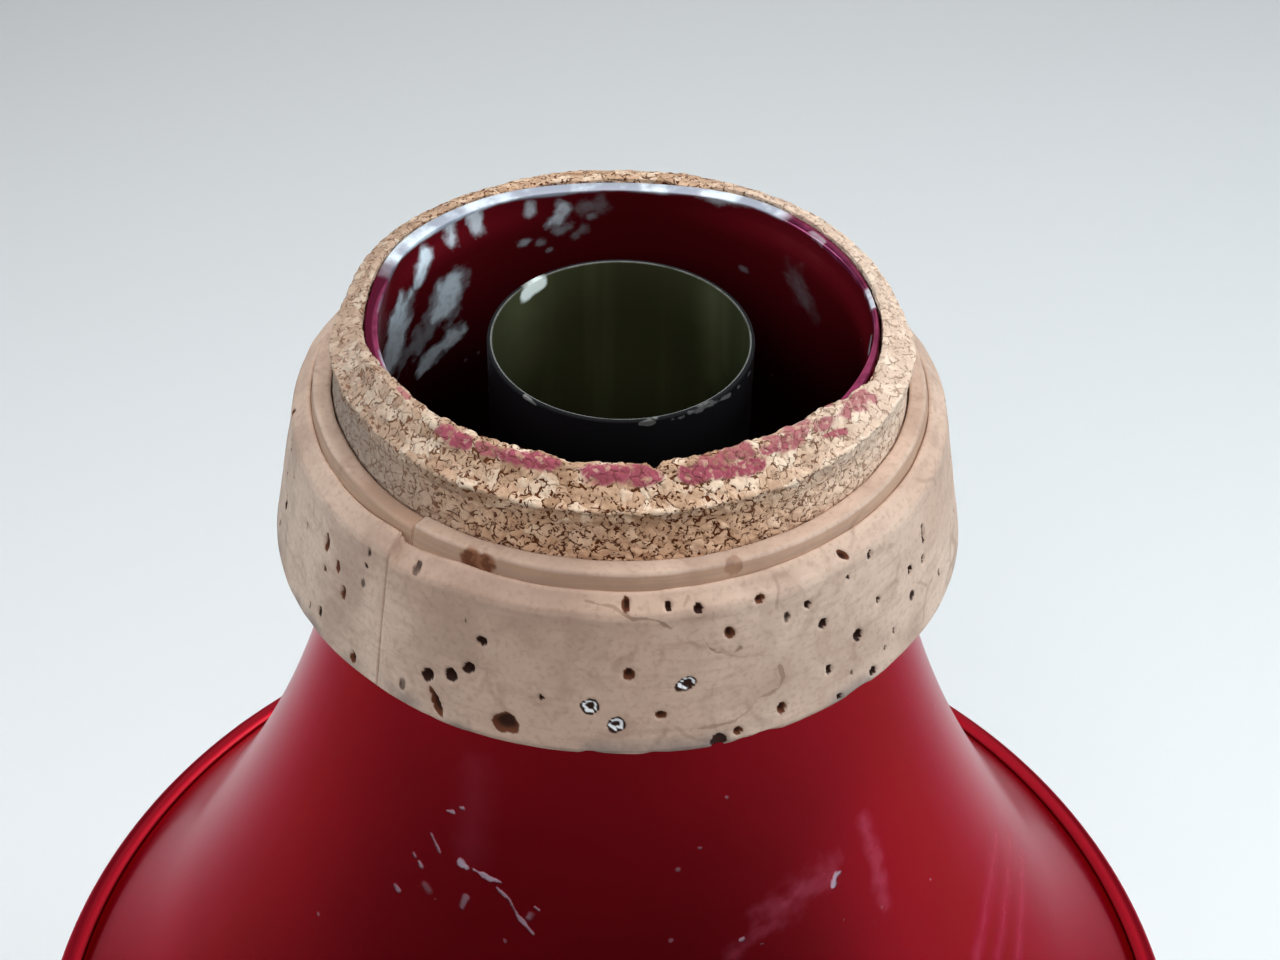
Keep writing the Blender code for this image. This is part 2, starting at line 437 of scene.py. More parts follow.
def hand_over(obj: Piece, material: Material, node: str, body: Body, slot: Slot) -> None:
    """Dress a piece, let it stand for its CAD node and ride on its body."""
    dress(obj, material)
    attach(obj, body.value)
    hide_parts(node)
    LOG.info("%s: %d faces, for %s on %s", obj.name, len(obj.data.polygons), node, body.value)


# Materials


class Sheet:
    """A node tree, with short ways to add and join its nodes."""

    def __init__(self, tree: bpy.types.NodeTree) -> None:
        """Work on a tree."""
        self.tree = tree

    def node(self, kind: str, values: Optional[dict] = None, **settings: object) -> bpy.types.Node:
        """Add a node.

        Args:
            kind: Blender's name of the node type.
            values: Inputs by name or number, as constants or sockets.
            settings: Properties to set before the inputs.

        Returns:
            The node.
        """
        made = self.tree.nodes.new(kind)
        for key, value in settings.items():
            setattr(made, key, value)
        for key, value in (values or {}).items():
            self.feed(made.inputs[key], value)
        return made

    def feed(self, socket: Socket, value: Value) -> None:
        """Link a socket to an input, or set a constant on it."""
        if isinstance(value, Socket):
            self.tree.links.new(value, socket)
        elif socket.type == "RGBA" and len(value) == 3:
            socket.default_value = (*value, 1.0)
        else:
            socket.default_value = value

    def math(self, operation: str, a: Value, b: Value = 0.0) -> Socket:
        """Result of a Math node."""
        return self.node("ShaderNodeMath", {0: a, 1: b}, operation=operation).outputs[0]

    def times(self, a: Value, b: Value) -> Socket:
        """Product of two values."""
        return self.math("MULTIPLY", a, b)

    def plus(self, a: Value, b: Value) -> Socket:
        """Sum of two values."""
        return self.math("ADD", a, b)

    def less(self, a: Value, b: Value) -> Socket:
        """One value less another."""
        return self.math("SUBTRACT", a, b)

    def most(self, a: Value, b: Value) -> Socket:
        """The greater of two values."""
        return self.math("MAXIMUM", a, b)

    def scaled(self, a: Value, by: float, base: Value) -> Socket:
        """A value times a number, on top of a base."""
        return self.node("ShaderNodeMath", {0: a, 1: by, 2: base}, operation="MULTIPLY_ADD").outputs[0]

    def vector(self, operation: str, a: Value, b: Value = (0.0, 0.0, 0.0), out: str = "Vector") -> Socket:
        """Result of a Vector Math node."""
        return self.node("ShaderNodeVectorMath", {0: a, 1: b}, operation=operation).outputs[out]

    def spread(self, vector: Value, by: Value) -> Socket:
        """A vector times a number."""
        return self.node("ShaderNodeVectorMath", {0: vector, "Scale": by}, operation="SCALE").outputs[0]

    def remap(self, value: Value, low: float, high: float, least: float = 0.0, most: float = 1.0) -> Socket:
        """Ease a value from one range to another, held at the ends."""
        values = {"Value": value, "From Min": low, "From Max": high, "To Min": least, "To Max": most}
        return self.node("ShaderNodeMapRange", values, interpolation_type="SMOOTHSTEP").outputs[0]

    def fade(self, value: Value, low: float, high: float, top: float = 1.0) -> Socket:
        """Ease a value from a top at low to 0 at high."""
        return self.remap(value, low, high, top, 0.0)

    def noise(self, vector: Value, scale: float, detail: float = 2.0, distortion: float = 0.0) -> Socket:
        """Noise from 0 to 1, with features of about 1 / scale."""
        values = {"Vector": vector, "Scale": scale, "Detail": detail, "Distortion": distortion}
        return self.node("ShaderNodeTexNoise", values).outputs[0]

    def patches(self, place: Value, patch: Patch) -> Socket:
        """Noise eased into patches."""
        made = self.noise(place, patch.scale, patch.detail, patch.distortion)
        return self.remap(made, patch.low, patch.high, patch.least, patch.most)

    def bend(self, place: Value, scale: float, by: float) -> Socket:
        """Places moved about by noise."""
        made = self.node("ShaderNodeTexNoise", {"Vector": place, "Scale": scale, "Detail": 3.0})
        moved = self.vector("SUBTRACT", made.outputs["Color"], (0.5, 0.5, 0.5))
        return self.vector("ADD", place, self.spread(moved, by))

    def voronoi(self, vector: Value, scale: float, feature: str, out: str) -> Socket:
        """An output of a Voronoi texture."""
        values = {"Vector": vector, "Scale": scale}
        return self.node("ShaderNodeTexVoronoi", values, feature=feature).outputs[out]

    def mix(self, share: Value, a: Value, b: Value, blend: str = "MIX") -> Socket:
        """Mix of two colours."""
        made = self.node("ShaderNodeMix", {0: share, 6: a, 7: b}, data_type="RGBA", blend_type=blend)
        return made.outputs[2]

    def bump(self, height: Value, depth: float, normal: Optional[Value] = None) -> Socket:
        """Normal of a relief of a depth in metres."""
        values = {"Height": height, "Distance": depth, "Strength": 1.0}
        if normal:
            values["Normal"] = normal
        return self.node("ShaderNodeBump", values).outputs[0]

    def place(self) -> Socket:
        """Object coordinates."""
        return self.node("ShaderNodeTexCoord").outputs["Object"]

    def attribute(self, name: str, out: str = "Fac") -> Socket:
        """An output of one of the mesh's attributes."""
        return self.node("ShaderNodeAttribute", attribute_name=name).outputs[out]

    def parts(self, vector: Value) -> tuple[Socket, ...]:
        """X, Y and Z of a vector."""
        return tuple(self.node("ShaderNodeSeparateXYZ", {0: vector}).outputs)

    def reach(self, place: Value) -> Socket:
        """Distance of a place from the mute's axis."""
        return self.vector("LENGTH", self.vector("MULTIPLY", place, (1.0, 1.0, 0.0)), out="Value")

    def wire(self, shader: bpy.types.Node, **inputs: Value) -> None:
        """Feed a shader's inputs, with _ for a space in their names."""
        for key, value in inputs.items():
            self.feed(shader.inputs[key.replace("_", " ")], value)


def new_group(name: str, inputs: dict[str, str], outputs: dict[str, str]) -> tuple[Sheet, dict, dict]:
    """Start a shader node group.

    Args:
        name: Name of the group.
        inputs: Socket type of each input.
        outputs: Socket type of each output.

    Returns:
        The group's sheet, its input sockets and its output sockets, by name.
    """
    tree = bpy.data.node_groups.new(name, "ShaderNodeTree")
    for label, kind in inputs.items():
        tree.interface.new_socket(label, in_out="INPUT", socket_type=f"NodeSocket{kind}")
    for label, kind in outputs.items():
        tree.interface.new_socket(label, in_out="OUTPUT", socket_type=f"NodeSocket{kind}")
    given = tree.nodes.new("NodeGroupInput").outputs
    wanted = tree.nodes.new("NodeGroupOutput").inputs
    return Sheet(tree), {k: given[k] for k in inputs}, {k: wanted[k] for k in outputs}


class Effects:
    """Node groups that several finishes share."""

    ragged_noise: float = 900.0
    ragged_gain: float = 4.0
    half_width: float = 0.43
    dust_cells: float = 700.0
    dust_edge: Range = (0.06, 0.16)
    dust_noise: float = 420.0
    ring_noise: float = 3500.0

    def __init__(self) -> None:
        """Build the groups."""
        self.stroke = self.make_stroke()
        self.specks = self.make_specks()
        self.rings = self.make_rings()

    def make_stroke(self) -> bpy.types.NodeTree:
        """A ragged line between two points."""
        inputs = dict.fromkeys(("Place", "From", "To"), "Vector")
        inputs |= dict.fromkeys(("Width", "Ragged", "Soft"), "Float")
        sheet, given, out = new_group("stroke", inputs, {"Mask": "Float"})
        along = sheet.vector("SUBTRACT", given["To"], given["From"])
        away = sheet.vector("SUBTRACT", given["Place"], given["From"])
        done = sheet.vector("DOT_PRODUCT", away, along, "Value")
        whole = sheet.vector("DOT_PRODUCT", along, along, "Value")
        share = sheet.node("ShaderNodeClamp", {0: sheet.math("DIVIDE", done, whole)}).outputs[0]
        beside = sheet.vector("SUBTRACT", away, sheet.spread(along, share))
        distance = sheet.vector("LENGTH", beside, out="Value")
        coarse = sheet.noise(given["Place"], self.ragged_noise, 4.0)
        eaten = sheet.times(sheet.less(coarse, 0.5), given["Ragged"])
        edge = sheet.math("DIVIDE", distance, given["Width"])
        edge = sheet.plus(edge, sheet.times(eaten, self.ragged_gain))
        inward = sheet.math("DIVIDE", sheet.less(self.half_width, edge), given["Soft"])
        sheet.feed(out["Mask"], sheet.remap(inward, -1.0, 1.0))
        return sheet.tree

    def make_specks(self) -> bpy.types.NodeTree:
        """Dust and small dents, few and uneven."""
        sheet, given, out = new_group("specks", {"Place": "Vector", "Share": "Float"}, {"Mask": "Float"})
        dots = sheet.voronoi(given["Place"], self.dust_cells, "F1", "Distance")
        chosen = sheet.noise(given["Place"], self.dust_noise, 1.0)
        small = sheet.fade(dots, *self.dust_edge)
        kept = sheet.math("LESS_THAN", chosen, given["Share"])
        sheet.feed(out["Mask"], sheet.times(small, kept))
        return sheet.tree

    def make_rings(self) -> bpy.types.NodeTree:
        """Fine tool lines that run round a spun or turned piece."""
        sheet, given, out = new_group("rings", {"Place": "Vector"}, {"Lines": "Float"})
        _, _, height = sheet.parts(given["Place"])
        line = sheet.node("ShaderNodeCombineXYZ", {0: sheet.reach(given["Place"]), 2: height}).outputs[0]
        sheet.feed(out["Lines"], sheet.noise(line, self.ring_noise, 3.0))
        return sheet.tree

    def marks(self, sheet: Sheet, place: Value, obj: Piece, marks: Iterable[Mark]) -> Value:
        """Mask of marks drawn on a piece.

        Args:
            sheet: Material to draw in.
            place: Object coordinates.
            obj: Piece that the pixels show.
            marks: What to draw.

        Returns:
            A socket from 0 to 1, or 0 where no mark meets the piece.
        """
        mask: Value = 0.0
        for mark in marks:
            ends = [PHOTO.cast(obj, mark.start), PHOTO.cast(obj, mark.end)]
            if None in ends:
                continue
            values = {"Place": place, "From": ends[0], "To": ends[1], "Width": mark.width * MM}
            values |= {"Ragged": mark.ragged, "Soft": mark.soft}
            drawn = sheet.node("ShaderNodeGroup", values, node_tree=self.stroke).outputs[0]
            mask = sheet.most(mask, sheet.times(drawn, mark.strength))
        return mask

    def of(self, sheet: Sheet, group: bpy.types.NodeTree, **values: Value) -> Socket:
        """First output of a group placed in a material."""
        return sheet.node("ShaderNodeGroup", values, node_tree=group).outputs[0]


def new_material(name: str, **constants: Value) -> tuple[Material, Sheet, bpy.types.Node]:
    """Start a Principled material.

    Args:
        name: Name of the material.
        constants: Inputs that are the same all over, with _ for a space in their names.

    Returns:
        The material, its sheet and its shader node.
    """
    material = bpy.data.materials.new(name)
    material.use_nodes = True
    shader = material.node_tree.nodes["Principled BSDF"]
    sheet = Sheet(material.node_tree)
    sheet.wire(shader, **constants)
    return material, sheet, shader


@dataclass(frozen=True)
class RedLacquer:
    """Clear red lacquer on spun sheet, scratched, and rubbed through to metal, with painted shade down the
    bore and by the cork, a painted highlight on the hem, and painted reflection streaks.
    """

    colour: Colour = (0.27, 0.002, 0.008)
    deep: Colour = (0.21, 0.0015, 0.006)
    inner: Colour = (0.21, 0.008, 0.015)
    # Painted shade that the inside darkens to, far down the bore.
    depth: Colour = (0.03, 0.0025, 0.006)
    scratched: Colour = (0.62, 0.48, 0.58)
    scuff_and_reflection_colour: Colour = (0.50, 0.07, 0.12)
    # Painted highlight: the brighter red of the lit bead on the bowl's hem.
    hem: Colour = (0.46, 0.010, 0.024)
    bare: Colour = (0.80, 0.90, 0.97)
    tarnish: Colour = (0.36, 0.40, 0.47)
    pink: Colour = (0.39, 0.065, 0.165)
    dusk: Colour = (0.11, 0.007, 0.03)
    edge: Colour = (1.0, 0.42, 0.48)
    roughness: float = 0.20
    dust_share: float = 0.34
    bore: float = 14.12 * MM
    hem_drop: Range = (4.5 * MM, 3.0 * MM)
    bore_shade_drop: Range = (15 * MM, 3 * MM)
    rim_drop: Range = (0.5 * MM, 0.25 * MM)
    rim_wave: float = 0.9 * MM
    rim_noise: float = 230.0
    rim_thinned: float = 0.24 * MM
    thin_back: Range = (8 * MM, 13 * MM)
    thin_right: Range = (-6 * MM, 2 * MM)
    cork_shade_wall: Range = (0.26 * MM, 0.44 * MM)
    cork_shade_left: Range = (-4 * MM, 6 * MM)
    bare_side: Direction = (-0.30, 0.95, 0.0)
    bare_reach: Range = (11.5 * MM, 14.5 * MM)
    bare_ragged: float = 9 * MM
    bare_noise: float = 260.0
    corner_wall: Range = (0.05 * MM, 0.28 * MM)
    corner_share: float = 0.75
    corner_left: Range = (-4 * MM, 8 * MM)
    corner_least: float = 0.3
    dust_shown: float = 0.25
    scuff_and_reflection_dull: float = 0.5
    hem_dull: float = 0.6
    wear_rough: float = 0.3
    ring_rough: float = 0.06
    ring_depth: float = 0.004 * MM
    scratch_depth: float = 0.03 * MM
    inside_paint: float = 0.45
    rub_dull: float = 0.8
    cloudy: Patch = Patch(55.0, 3.0, 0.3, 0.7)
    smeared: Patch = Patch(2300.0, 3.0, 0.32, 0.56, 0.85, 1.0)
    dusky: Patch = Patch(900.0, 3.0, 0.35, 0.65, 0.0, 0.6)
    nibbled: Patch = Patch(330.0, 3.0, 0.44, 0.58)
    tarnished: Patch = Patch(480.0, 4.0, 0.38, 0.60)

    def make(
        self,
        effects: Effects,
        obj: Piece,
        scratches: Sequence[Mark] = (),
        scuffs_and_reflections: Sequence[Mark] = (),
        rubs: Sequence[Mark] = (),
        rim: Optional[float] = None,
    ) -> Material:
        """Make the lacquer of one shell.

        Args:
            effects: Shared groups.
            obj: Shell to dress.
            scratches: Bright scratches.
            scuffs_and_reflections: Dull worn patches, and soft pale streaks that are painted reflections.
            rubs: Places rubbed to bare metal.
            rim: Height of a bare mouth rim.

        Returns:
            The material.
        """
        material, sheet, shader = new_material(
            f"lacquer_{obj.name}", Coat_Weight=0.12, Coat_Roughness=0.08, Specular_Tint=self.edge
        )
        place = sheet.place()
        height = sheet.parts(place)[2]
        inside = sheet.attribute(INSIDE)
        colour = sheet.mix(sheet.patches(place, self.cloudy), self.deep, self.colour)
        hem: Value = 0.0
        if rim is None:
            # The hem band is mixed to a brighter red: a painted highlight where the bead is lit.
            hem = sheet.remap(height, *(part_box(HEMMED)[1].z - drop for drop in self.hem_drop))
            colour = sheet.mix(hem, colour, self.hem)
        else:
            # Inside the mouth the red darkens towards depth further down the bore: painted shade.
            sunk = sheet.fade(height, *(rim - drop for drop in self.bore_shade_drop))
            colour = sheet.mix(inside, colour, sheet.mix(sunk, self.inner, self.depth))
        lines = effects.of(sheet, effects.rings, Place=place)
        dust = effects.of(sheet, effects.specks, Place=place, Share=self.dust_share)
        scuff_and_reflection, scratch, rub = (effects.marks(sheet, place, obj, m) for m in (scuffs_and_reflections, scratches, rubs))
        if rubs:
            rub = sheet.times(rub, sheet.patches(place, self.smeared))
        # Scuffs and the painted reflection streaks share one paler red.
        colour = sheet.mix(scuff_and_reflection, colour, self.scuff_and_reflection_colour)
        colour = sheet.mix(rub, colour, self.bare)
        if rim is not None:
            colour, rub = self.bare_rim(sheet, place, colour, rub, rim)
        bright = sheet.most(scratch, sheet.times(dust, self.dust_shown))
        dull = sheet.most(sheet.times(scuff_and_reflection, self.scuff_and_reflection_dull), sheet.most(rub, bright))
        dull = sheet.most(dull, sheet.times(hem, self.hem_dull))
        worn = sheet.scaled(dull, self.wear_rough, self.roughness)
        lacking = sheet.most(sheet.times(inside, self.inside_paint), sheet.times(rub, self.rub_dull))
        relief = sheet.bump(lines, self.ring_depth)
        sheet.wire(
            shader,
            Base_Color=sheet.mix(bright, colour, self.scratched),
            Metallic=sheet.less(1.0, lacking),
            Roughness=sheet.scaled(lines, self.ring_rough, worn),
            Normal=sheet.bump(bright, -self.scratch_depth, relief),
        )
        return material

    def bare_rim(
        self, sheet: Sheet, place: Value, colour: Value, rub: Value, rim: float
    ) -> tuple[Value, Value]:
        """Wear the mouth rim: to bare metal at the back left, and pale pink elsewhere, with painted shade on
        its outer part by the cork at the left.
        """
        x, y, height = sheet.parts(place)
        reach = sheet.reach(place)
        wave = sheet.times(sheet.less(sheet.noise(place, self.rim_noise, 3.0), 0.5), self.rim_wave)
        back_right = sheet.remap(y, *self.thin_back, 0.0, self.rim_thinned)
        back_right = sheet.times(back_right, sheet.remap(x, *self.thin_right))
        level = sheet.less(sheet.plus(height, wave), back_right)
        edge = sheet.remap(level, *(rim - drop for drop in self.rim_drop))
        # On the left the rim's outer part, next to the cork's overhanging edge, goes towards dusk: painted
        # shade.
        outer = sheet.remap(reach, *(self.bore + part for part in self.cork_shade_wall))
        outer = sheet.times(outer, sheet.fade(x, *self.cork_shade_left))
        dusky = sheet.most(sheet.patches(place, self.dusky), outer)
        kept = sheet.times(edge, sheet.less(1.0, rub))
        worn = sheet.mix(kept, colour, sheet.mix(dusky, self.pink, self.dusk))
        back_left = sheet.vector("DOT_PRODUCT", place, self.bare_side, "Value")
        patchy = sheet.times(sheet.noise(place, self.bare_noise, 3.0), self.bare_ragged)
        bared = sheet.remap(sheet.plus(back_left, patchy), *self.bare_reach)
        corner = sheet.fade(reach, *(self.bore + part for part in self.corner_wall), self.corner_share)
        corner = sheet.times(corner, sheet.patches(place, self.nibbled))
        corner = sheet.times(corner, sheet.remap(x, *self.corner_left, 1.0, self.corner_least))
        bared = sheet.times(edge, sheet.most(bared, corner))
        silver = sheet.mix(sheet.patches(place, self.tarnished), self.bare, self.tarnish)
        return sheet.mix(bared, worn, silver), sheet.most(rub, bared)


@dataclass(frozen=True)
class BlackLacquer:
    """Black lacquer outside and a dull olive inside with paler streaks of painted reflection, and bare metal
    on worn edges.
    """

    black: Colour = (0.006, 0.006, 0.007)
    olive: Colour = (0.032, 0.033, 0.014)
    reflection_tint: Colour = (0.095, 0.098, 0.046)
    bare: Colour = (0.36, 0.36, 0.35)
    chalk: Colour = (0.72, 0.78, 0.74)
    roughness: float = 0.30
    dust_share: float = 0.42
    line_edge: Range = (0.02 * MM, 0.07 * MM)
    line_depth: Range = (0.10 * MM, 0.30 * MM)
    line_wave: float = 0.3 * MM
    line_noise: float = 800.0
    line_share: float = 0.6
    dust_shown: float = 0.5
    bare_metallic: float = 0.9
    gloss_noise: float = 500.0
    gloss_wave: float = 0.2
    face_rough: float = 0.9
    coat: float = 0.15
    relief: float = 0.01 * MM
    face_depth: Range = (0.06 * MM, 0.16 * MM)
    drawn_out: float = 0.04
    reflection_streaking: Patch = Patch(420.0, 3.0, 0.5, 0.9, 0.0, 0.6)

    def make(
        self,
        effects: Effects,
        obj: Piece,
        skin: float,
        edge: float,
        upper: bool,
        lean: float = 0.0,
        worn: Sequence[Mark] = (),
        flecks: Sequence[Mark] = (),
        streaks: Sequence[Mark] = (),
    ) -> Material:
        """Make the lacquer of one stem piece.

        Args:
            effects: Shared groups.
            obj: Piece to dress.
            skin: Radius of the thin bare line on the worn edge.
            edge: Height of the worn edge.
            upper: Whether the worn edge is the piece's top.
            lean: How much lower the edge lies in front than at the back.
            worn: Places worn to bare metal.
            flecks: Spots of chalk.
            streaks: Upright paler streaks inside, painted reflections.

        Returns:
            The material.
        """
        material, sheet, shader = new_material(
            f"black_{obj.name}", Coat_Roughness=0.12, Specular_IOR_Level=0.2
        )
        place = sheet.place()
        x, y, height = sheet.parts(place)
        low = sheet.times(height, self.drawn_out)
        upright = sheet.node("ShaderNodeCombineXYZ", {0: x, 1: y, 2: low}).outputs[0]
        # Paler upright streaks inside the tube are painted reflections on its glossy wall.
        reflection_streaking = sheet.patches(upright, self.reflection_streaking)
        reflection_streaking = sheet.most(reflection_streaking, effects.marks(sheet, place, obj, streaks))
        olive = sheet.mix(reflection_streaking, self.olive, self.reflection_tint)
        dust = effects.of(sheet, effects.specks, Place=place, Share=self.dust_share)
        outside = sheet.mix(sheet.times(dust, self.dust_shown), self.black, self.bare)
        colour = sheet.mix(sheet.attribute(INSIDE), outside, olive)
        level = sheet.less(edge, sheet.remap(y, -skin, skin, lean, 0.0)) if lean else edge
        depth = sheet.times(sheet.less(level, height), 1.0 if upper else -1.0)
        wave = sheet.times(sheet.noise(place, self.line_noise, 4.0), self.line_wave)
        rubbed = sheet.fade(sheet.plus(depth, wave), *self.line_depth, self.line_share)
        beside = sheet.math("ABSOLUTE", sheet.less(sheet.reach(place), skin))
        rubbed = sheet.times(rubbed, sheet.fade(beside, *self.line_edge))
        metal = sheet.most(rubbed, effects.marks(sheet, place, obj, worn))
        colour = sheet.mix(metal, colour, self.bare)
        colour = sheet.mix(effects.marks(sheet, place, obj, flecks), colour, self.chalk)
        face = sheet.fade(depth, *self.face_depth)
        gloss = sheet.scaled(sheet.noise(place, self.gloss_noise, 3.0), self.gloss_wave, self.roughness)
        sheet.wire(
            shader,
            Base_Color=colour,
            Metallic=sheet.times(metal, self.bare_metallic),
            Roughness=sheet.most(gloss, sheet.times(face, self.face_rough)),
            Coat_Weight=sheet.fade(face, 0.0, 1.0, self.coat),
            Normal=sheet.bump(sheet.most(dust, metal), -self.relief),
        )
        return material


@dataclass(frozen=True)
class GrainCork:
    """Pressed cork grains with dark cracks between them, and smears of paint; painted shadow under the ridge,
    and painted light below it and to the right.
    """

    light: Colour = (0.83, 0.64, 0.48)
    middle: Colour = (0.62, 0.40, 0.265)
    dark: Colour = (0.40, 0.235, 0.14)
    under: Colour = (0.76, 0.445, 0.275)
    # Pale colour towards the right: partly real dust, partly painted light from the right.
    dust: Colour = (0.80, 0.64, 0.53)
    dull: Colour = (0.36, 0.275, 0.225)
    # Painted shadow colour of the band just under the ridge.
    darkened: Colour = (0.32, 0.17, 0.09)
    crack: Colour = (0.115, 0.028, 0.008)
    stain: Colour = (0.42, 0.19, 0.08)
    paint: Colour = (0.38, 0.085, 0.12)
    roughness: float = 0.85
    grain: float = 0.72 * MM
    wander: float = 0.9 * MM
    wander_noise: float = 1300.0
    crumbs: float = 1.9
    fibre_noise: float = 2600.0
    cloud_noise: float = 500.0
    tint_weight: float = 0.46
    fibre_weight: float = 0.55
    cloud_weight: float = 0.50
    middle_range: Range = (0.46, 0.78)
    light_range: Range = (0.74, 1.0)
    under_drop: Range = (1.1 * MM, 0.1 * MM)
    under_share: float = 0.6
    shadow_drop: float = 0.5 * MM
    shadow_band: Range = (0.2 * MM, 0.6 * MM)
    aside: Direction = (1.0, 0.1, 0.0)
    dust_and_right_light_range: Range = (3 * MM, 16 * MM)
    dust_share: float = 0.6
    dull_range: Range = (-17 * MM, -6 * MM)
    dull_share: float = 0.95
    dull_top: float = 0.6
    paint_range: Range = (0.36, 0.48)
    paint_least: float = 0.4
    filled: float = 0.7
    flake_edge: Range = (0.0, 0.2)
    flake_rim: float = 0.5
    flake_step: float = 1.2
    flake_depth: float = 0.08 * MM
    crack_depth: float = 0.06 * MM
    loose_noise: float = 2600.0
    loose_under: float = 0.03
    loose_range: Range = (0.48, 0.66)
    crack_width: float = 0.060
    crack_edge: Range = (-0.02, 0.02)
    crack_start: Range = (0.05, 0.35)
    pit_edge: Range = (0.02, 0.08)
    halo_edge: Range = (0.04, 0.22)
    halo_share: float = 0.5
    shaded: Patch = Patch(300.0, 3.0, 0.42, 0.6, 0.3, 0.85)
    pitted: Patch = Patch(2300.0, 1.0, 0.54, 0.62)
    dotted: Patch = Patch(3800.0, 1.0, 0.68, 0.72)

    def make(self, effects: Effects, obj: Piece, smears: Sequence[Mark], ridge: float) -> Material:
        """Make the cork of the sleeve.

        Args:
            effects: Shared groups.
            obj: Sleeve.
            smears: Smears of paint.
            ridge: Height below which the cork is more orange, and mixed lighter as painted light that lifts
                the ridge's shade.

        Returns:
            The material.
        """
        material, sheet, shader = new_material(
            f"grain_{obj.name}", Specular_IOR_Level=0.08, Roughness=self.roughness
        )
        place = sheet.place()
        height = sheet.parts(place)[2]
        bent = sheet.bend(place, self.wander_noise, self.wander)
        size = 1.0 / self.grain
        tint = sheet.parts(sheet.voronoi(bent, size, "F1", "Color"))[0]
        border = sheet.voronoi(bent, size, "DISTANCE_TO_EDGE", "Distance")
        crumb = sheet.voronoi(bent, size * self.crumbs, "DISTANCE_TO_EDGE", "Distance")
        fibre = sheet.noise(place, self.fibre_noise, 4.0)
        cloud = sheet.noise(place, self.cloud_noise, 3.0)
        shade = sheet.plus(sheet.times(tint, self.tint_weight), sheet.times(fibre, self.fibre_weight))
        shade = sheet.plus(shade, sheet.times(cloud, self.cloud_weight))
        colour = sheet.mix(sheet.remap(shade, *self.middle_range), self.dark, self.middle)
        colour = sheet.mix(sheet.remap(shade, *self.light_range), colour, self.light)
        # Below the ridge the grains are mixed to a lighter, more orange tone: the cork's own tone, and
        # painted light that lifts the ridge's shade.
        low = sheet.fade(height, *(ridge - drop for drop in self.under_drop))
        colour = sheet.mix(sheet.times(low, self.under_share), colour, self.under)
        # A band just under the ridge is mixed towards the darkened brown: painted shadow of the ridge.
        beside = sheet.math("ABSOLUTE", sheet.less(height, ridge - self.shadow_drop))
        shadow = sheet.times(sheet.fade(beside, *self.shadow_band), sheet.patches(place, self.shaded))
        colour = sheet.mix(shadow, colour, self.darkened)
        # Towards the right the cork pales towards dust: partly real dust, partly painted light from the
        # right.
        aside = sheet.vector("DOT_PRODUCT", place, self.aside, "Value")
        dust_and_right_light = sheet.remap(aside, *self.dust_and_right_light_range, 0.0, self.dust_share)
        colour = sheet.mix(dust_and_right_light, colour, self.dust)
        worn = sheet.fade(aside, *self.dull_range, self.dull_share)
        worn = sheet.times(worn, sheet.remap(low, 0.0, 1.0, self.dull_top, 1.0))
        colour = sheet.mix(worn, colour, self.dull)
        smear = effects.marks(sheet, place, obj, smears)
        thin = sheet.remap(fibre, *self.paint_range, self.paint_least, 1.0)
        colour = sheet.mix(sheet.times(smear, thin), colour, self.paint)
        halo, gap = self.cracks(sheet, place, border, crumb, low)
        closed = sheet.most(dust_and_right_light, sheet.times(sheet.most(worn, smear), self.filled))
        halo, gap = (sheet.times(mask, sheet.less(1.0, closed)) for mask in (halo, gap))
        colour = sheet.mix(gap, sheet.mix(halo, colour, self.stain), self.crack)
        flakes = sheet.times(sheet.remap(border, *self.flake_edge), self.flake_rim)
        flakes = sheet.plus(flakes, sheet.times(tint, self.flake_step))
        relief = sheet.bump(sheet.plus(flakes, fibre), self.flake_depth)
        sheet.wire(shader, Base_Color=colour, Normal=sheet.bump(gap, -self.crack_depth, relief))
        return material

    def cracks(
        self, sheet: Sheet, place: Value, border: Value, crumb: Value, low: Value
    ) -> tuple[Socket, Socket]:
        """Masks of the stain round the cracks, and of the cracks and pits."""
        loose = sheet.plus(sheet.noise(place, self.loose_noise, 1.0), sheet.times(low, self.loose_under))
        opened = sheet.remap(loose, *self.loose_range)
        parted = sheet.less(border, sheet.times(opened, self.crack_width))
        parted = sheet.fade(parted, *self.crack_edge)
        gap = sheet.times(parted, sheet.remap(opened, *self.crack_start))
        pits = sheet.times(sheet.fade(crumb, *self.pit_edge), sheet.patches(place, self.pitted))
        pits = sheet.most(pits, sheet.patches(place, self.dotted))
        halo = sheet.times(sheet.fade(border, *self.halo_edge, self.halo_share), opened)
        return halo, sheet.most(gap, pits)


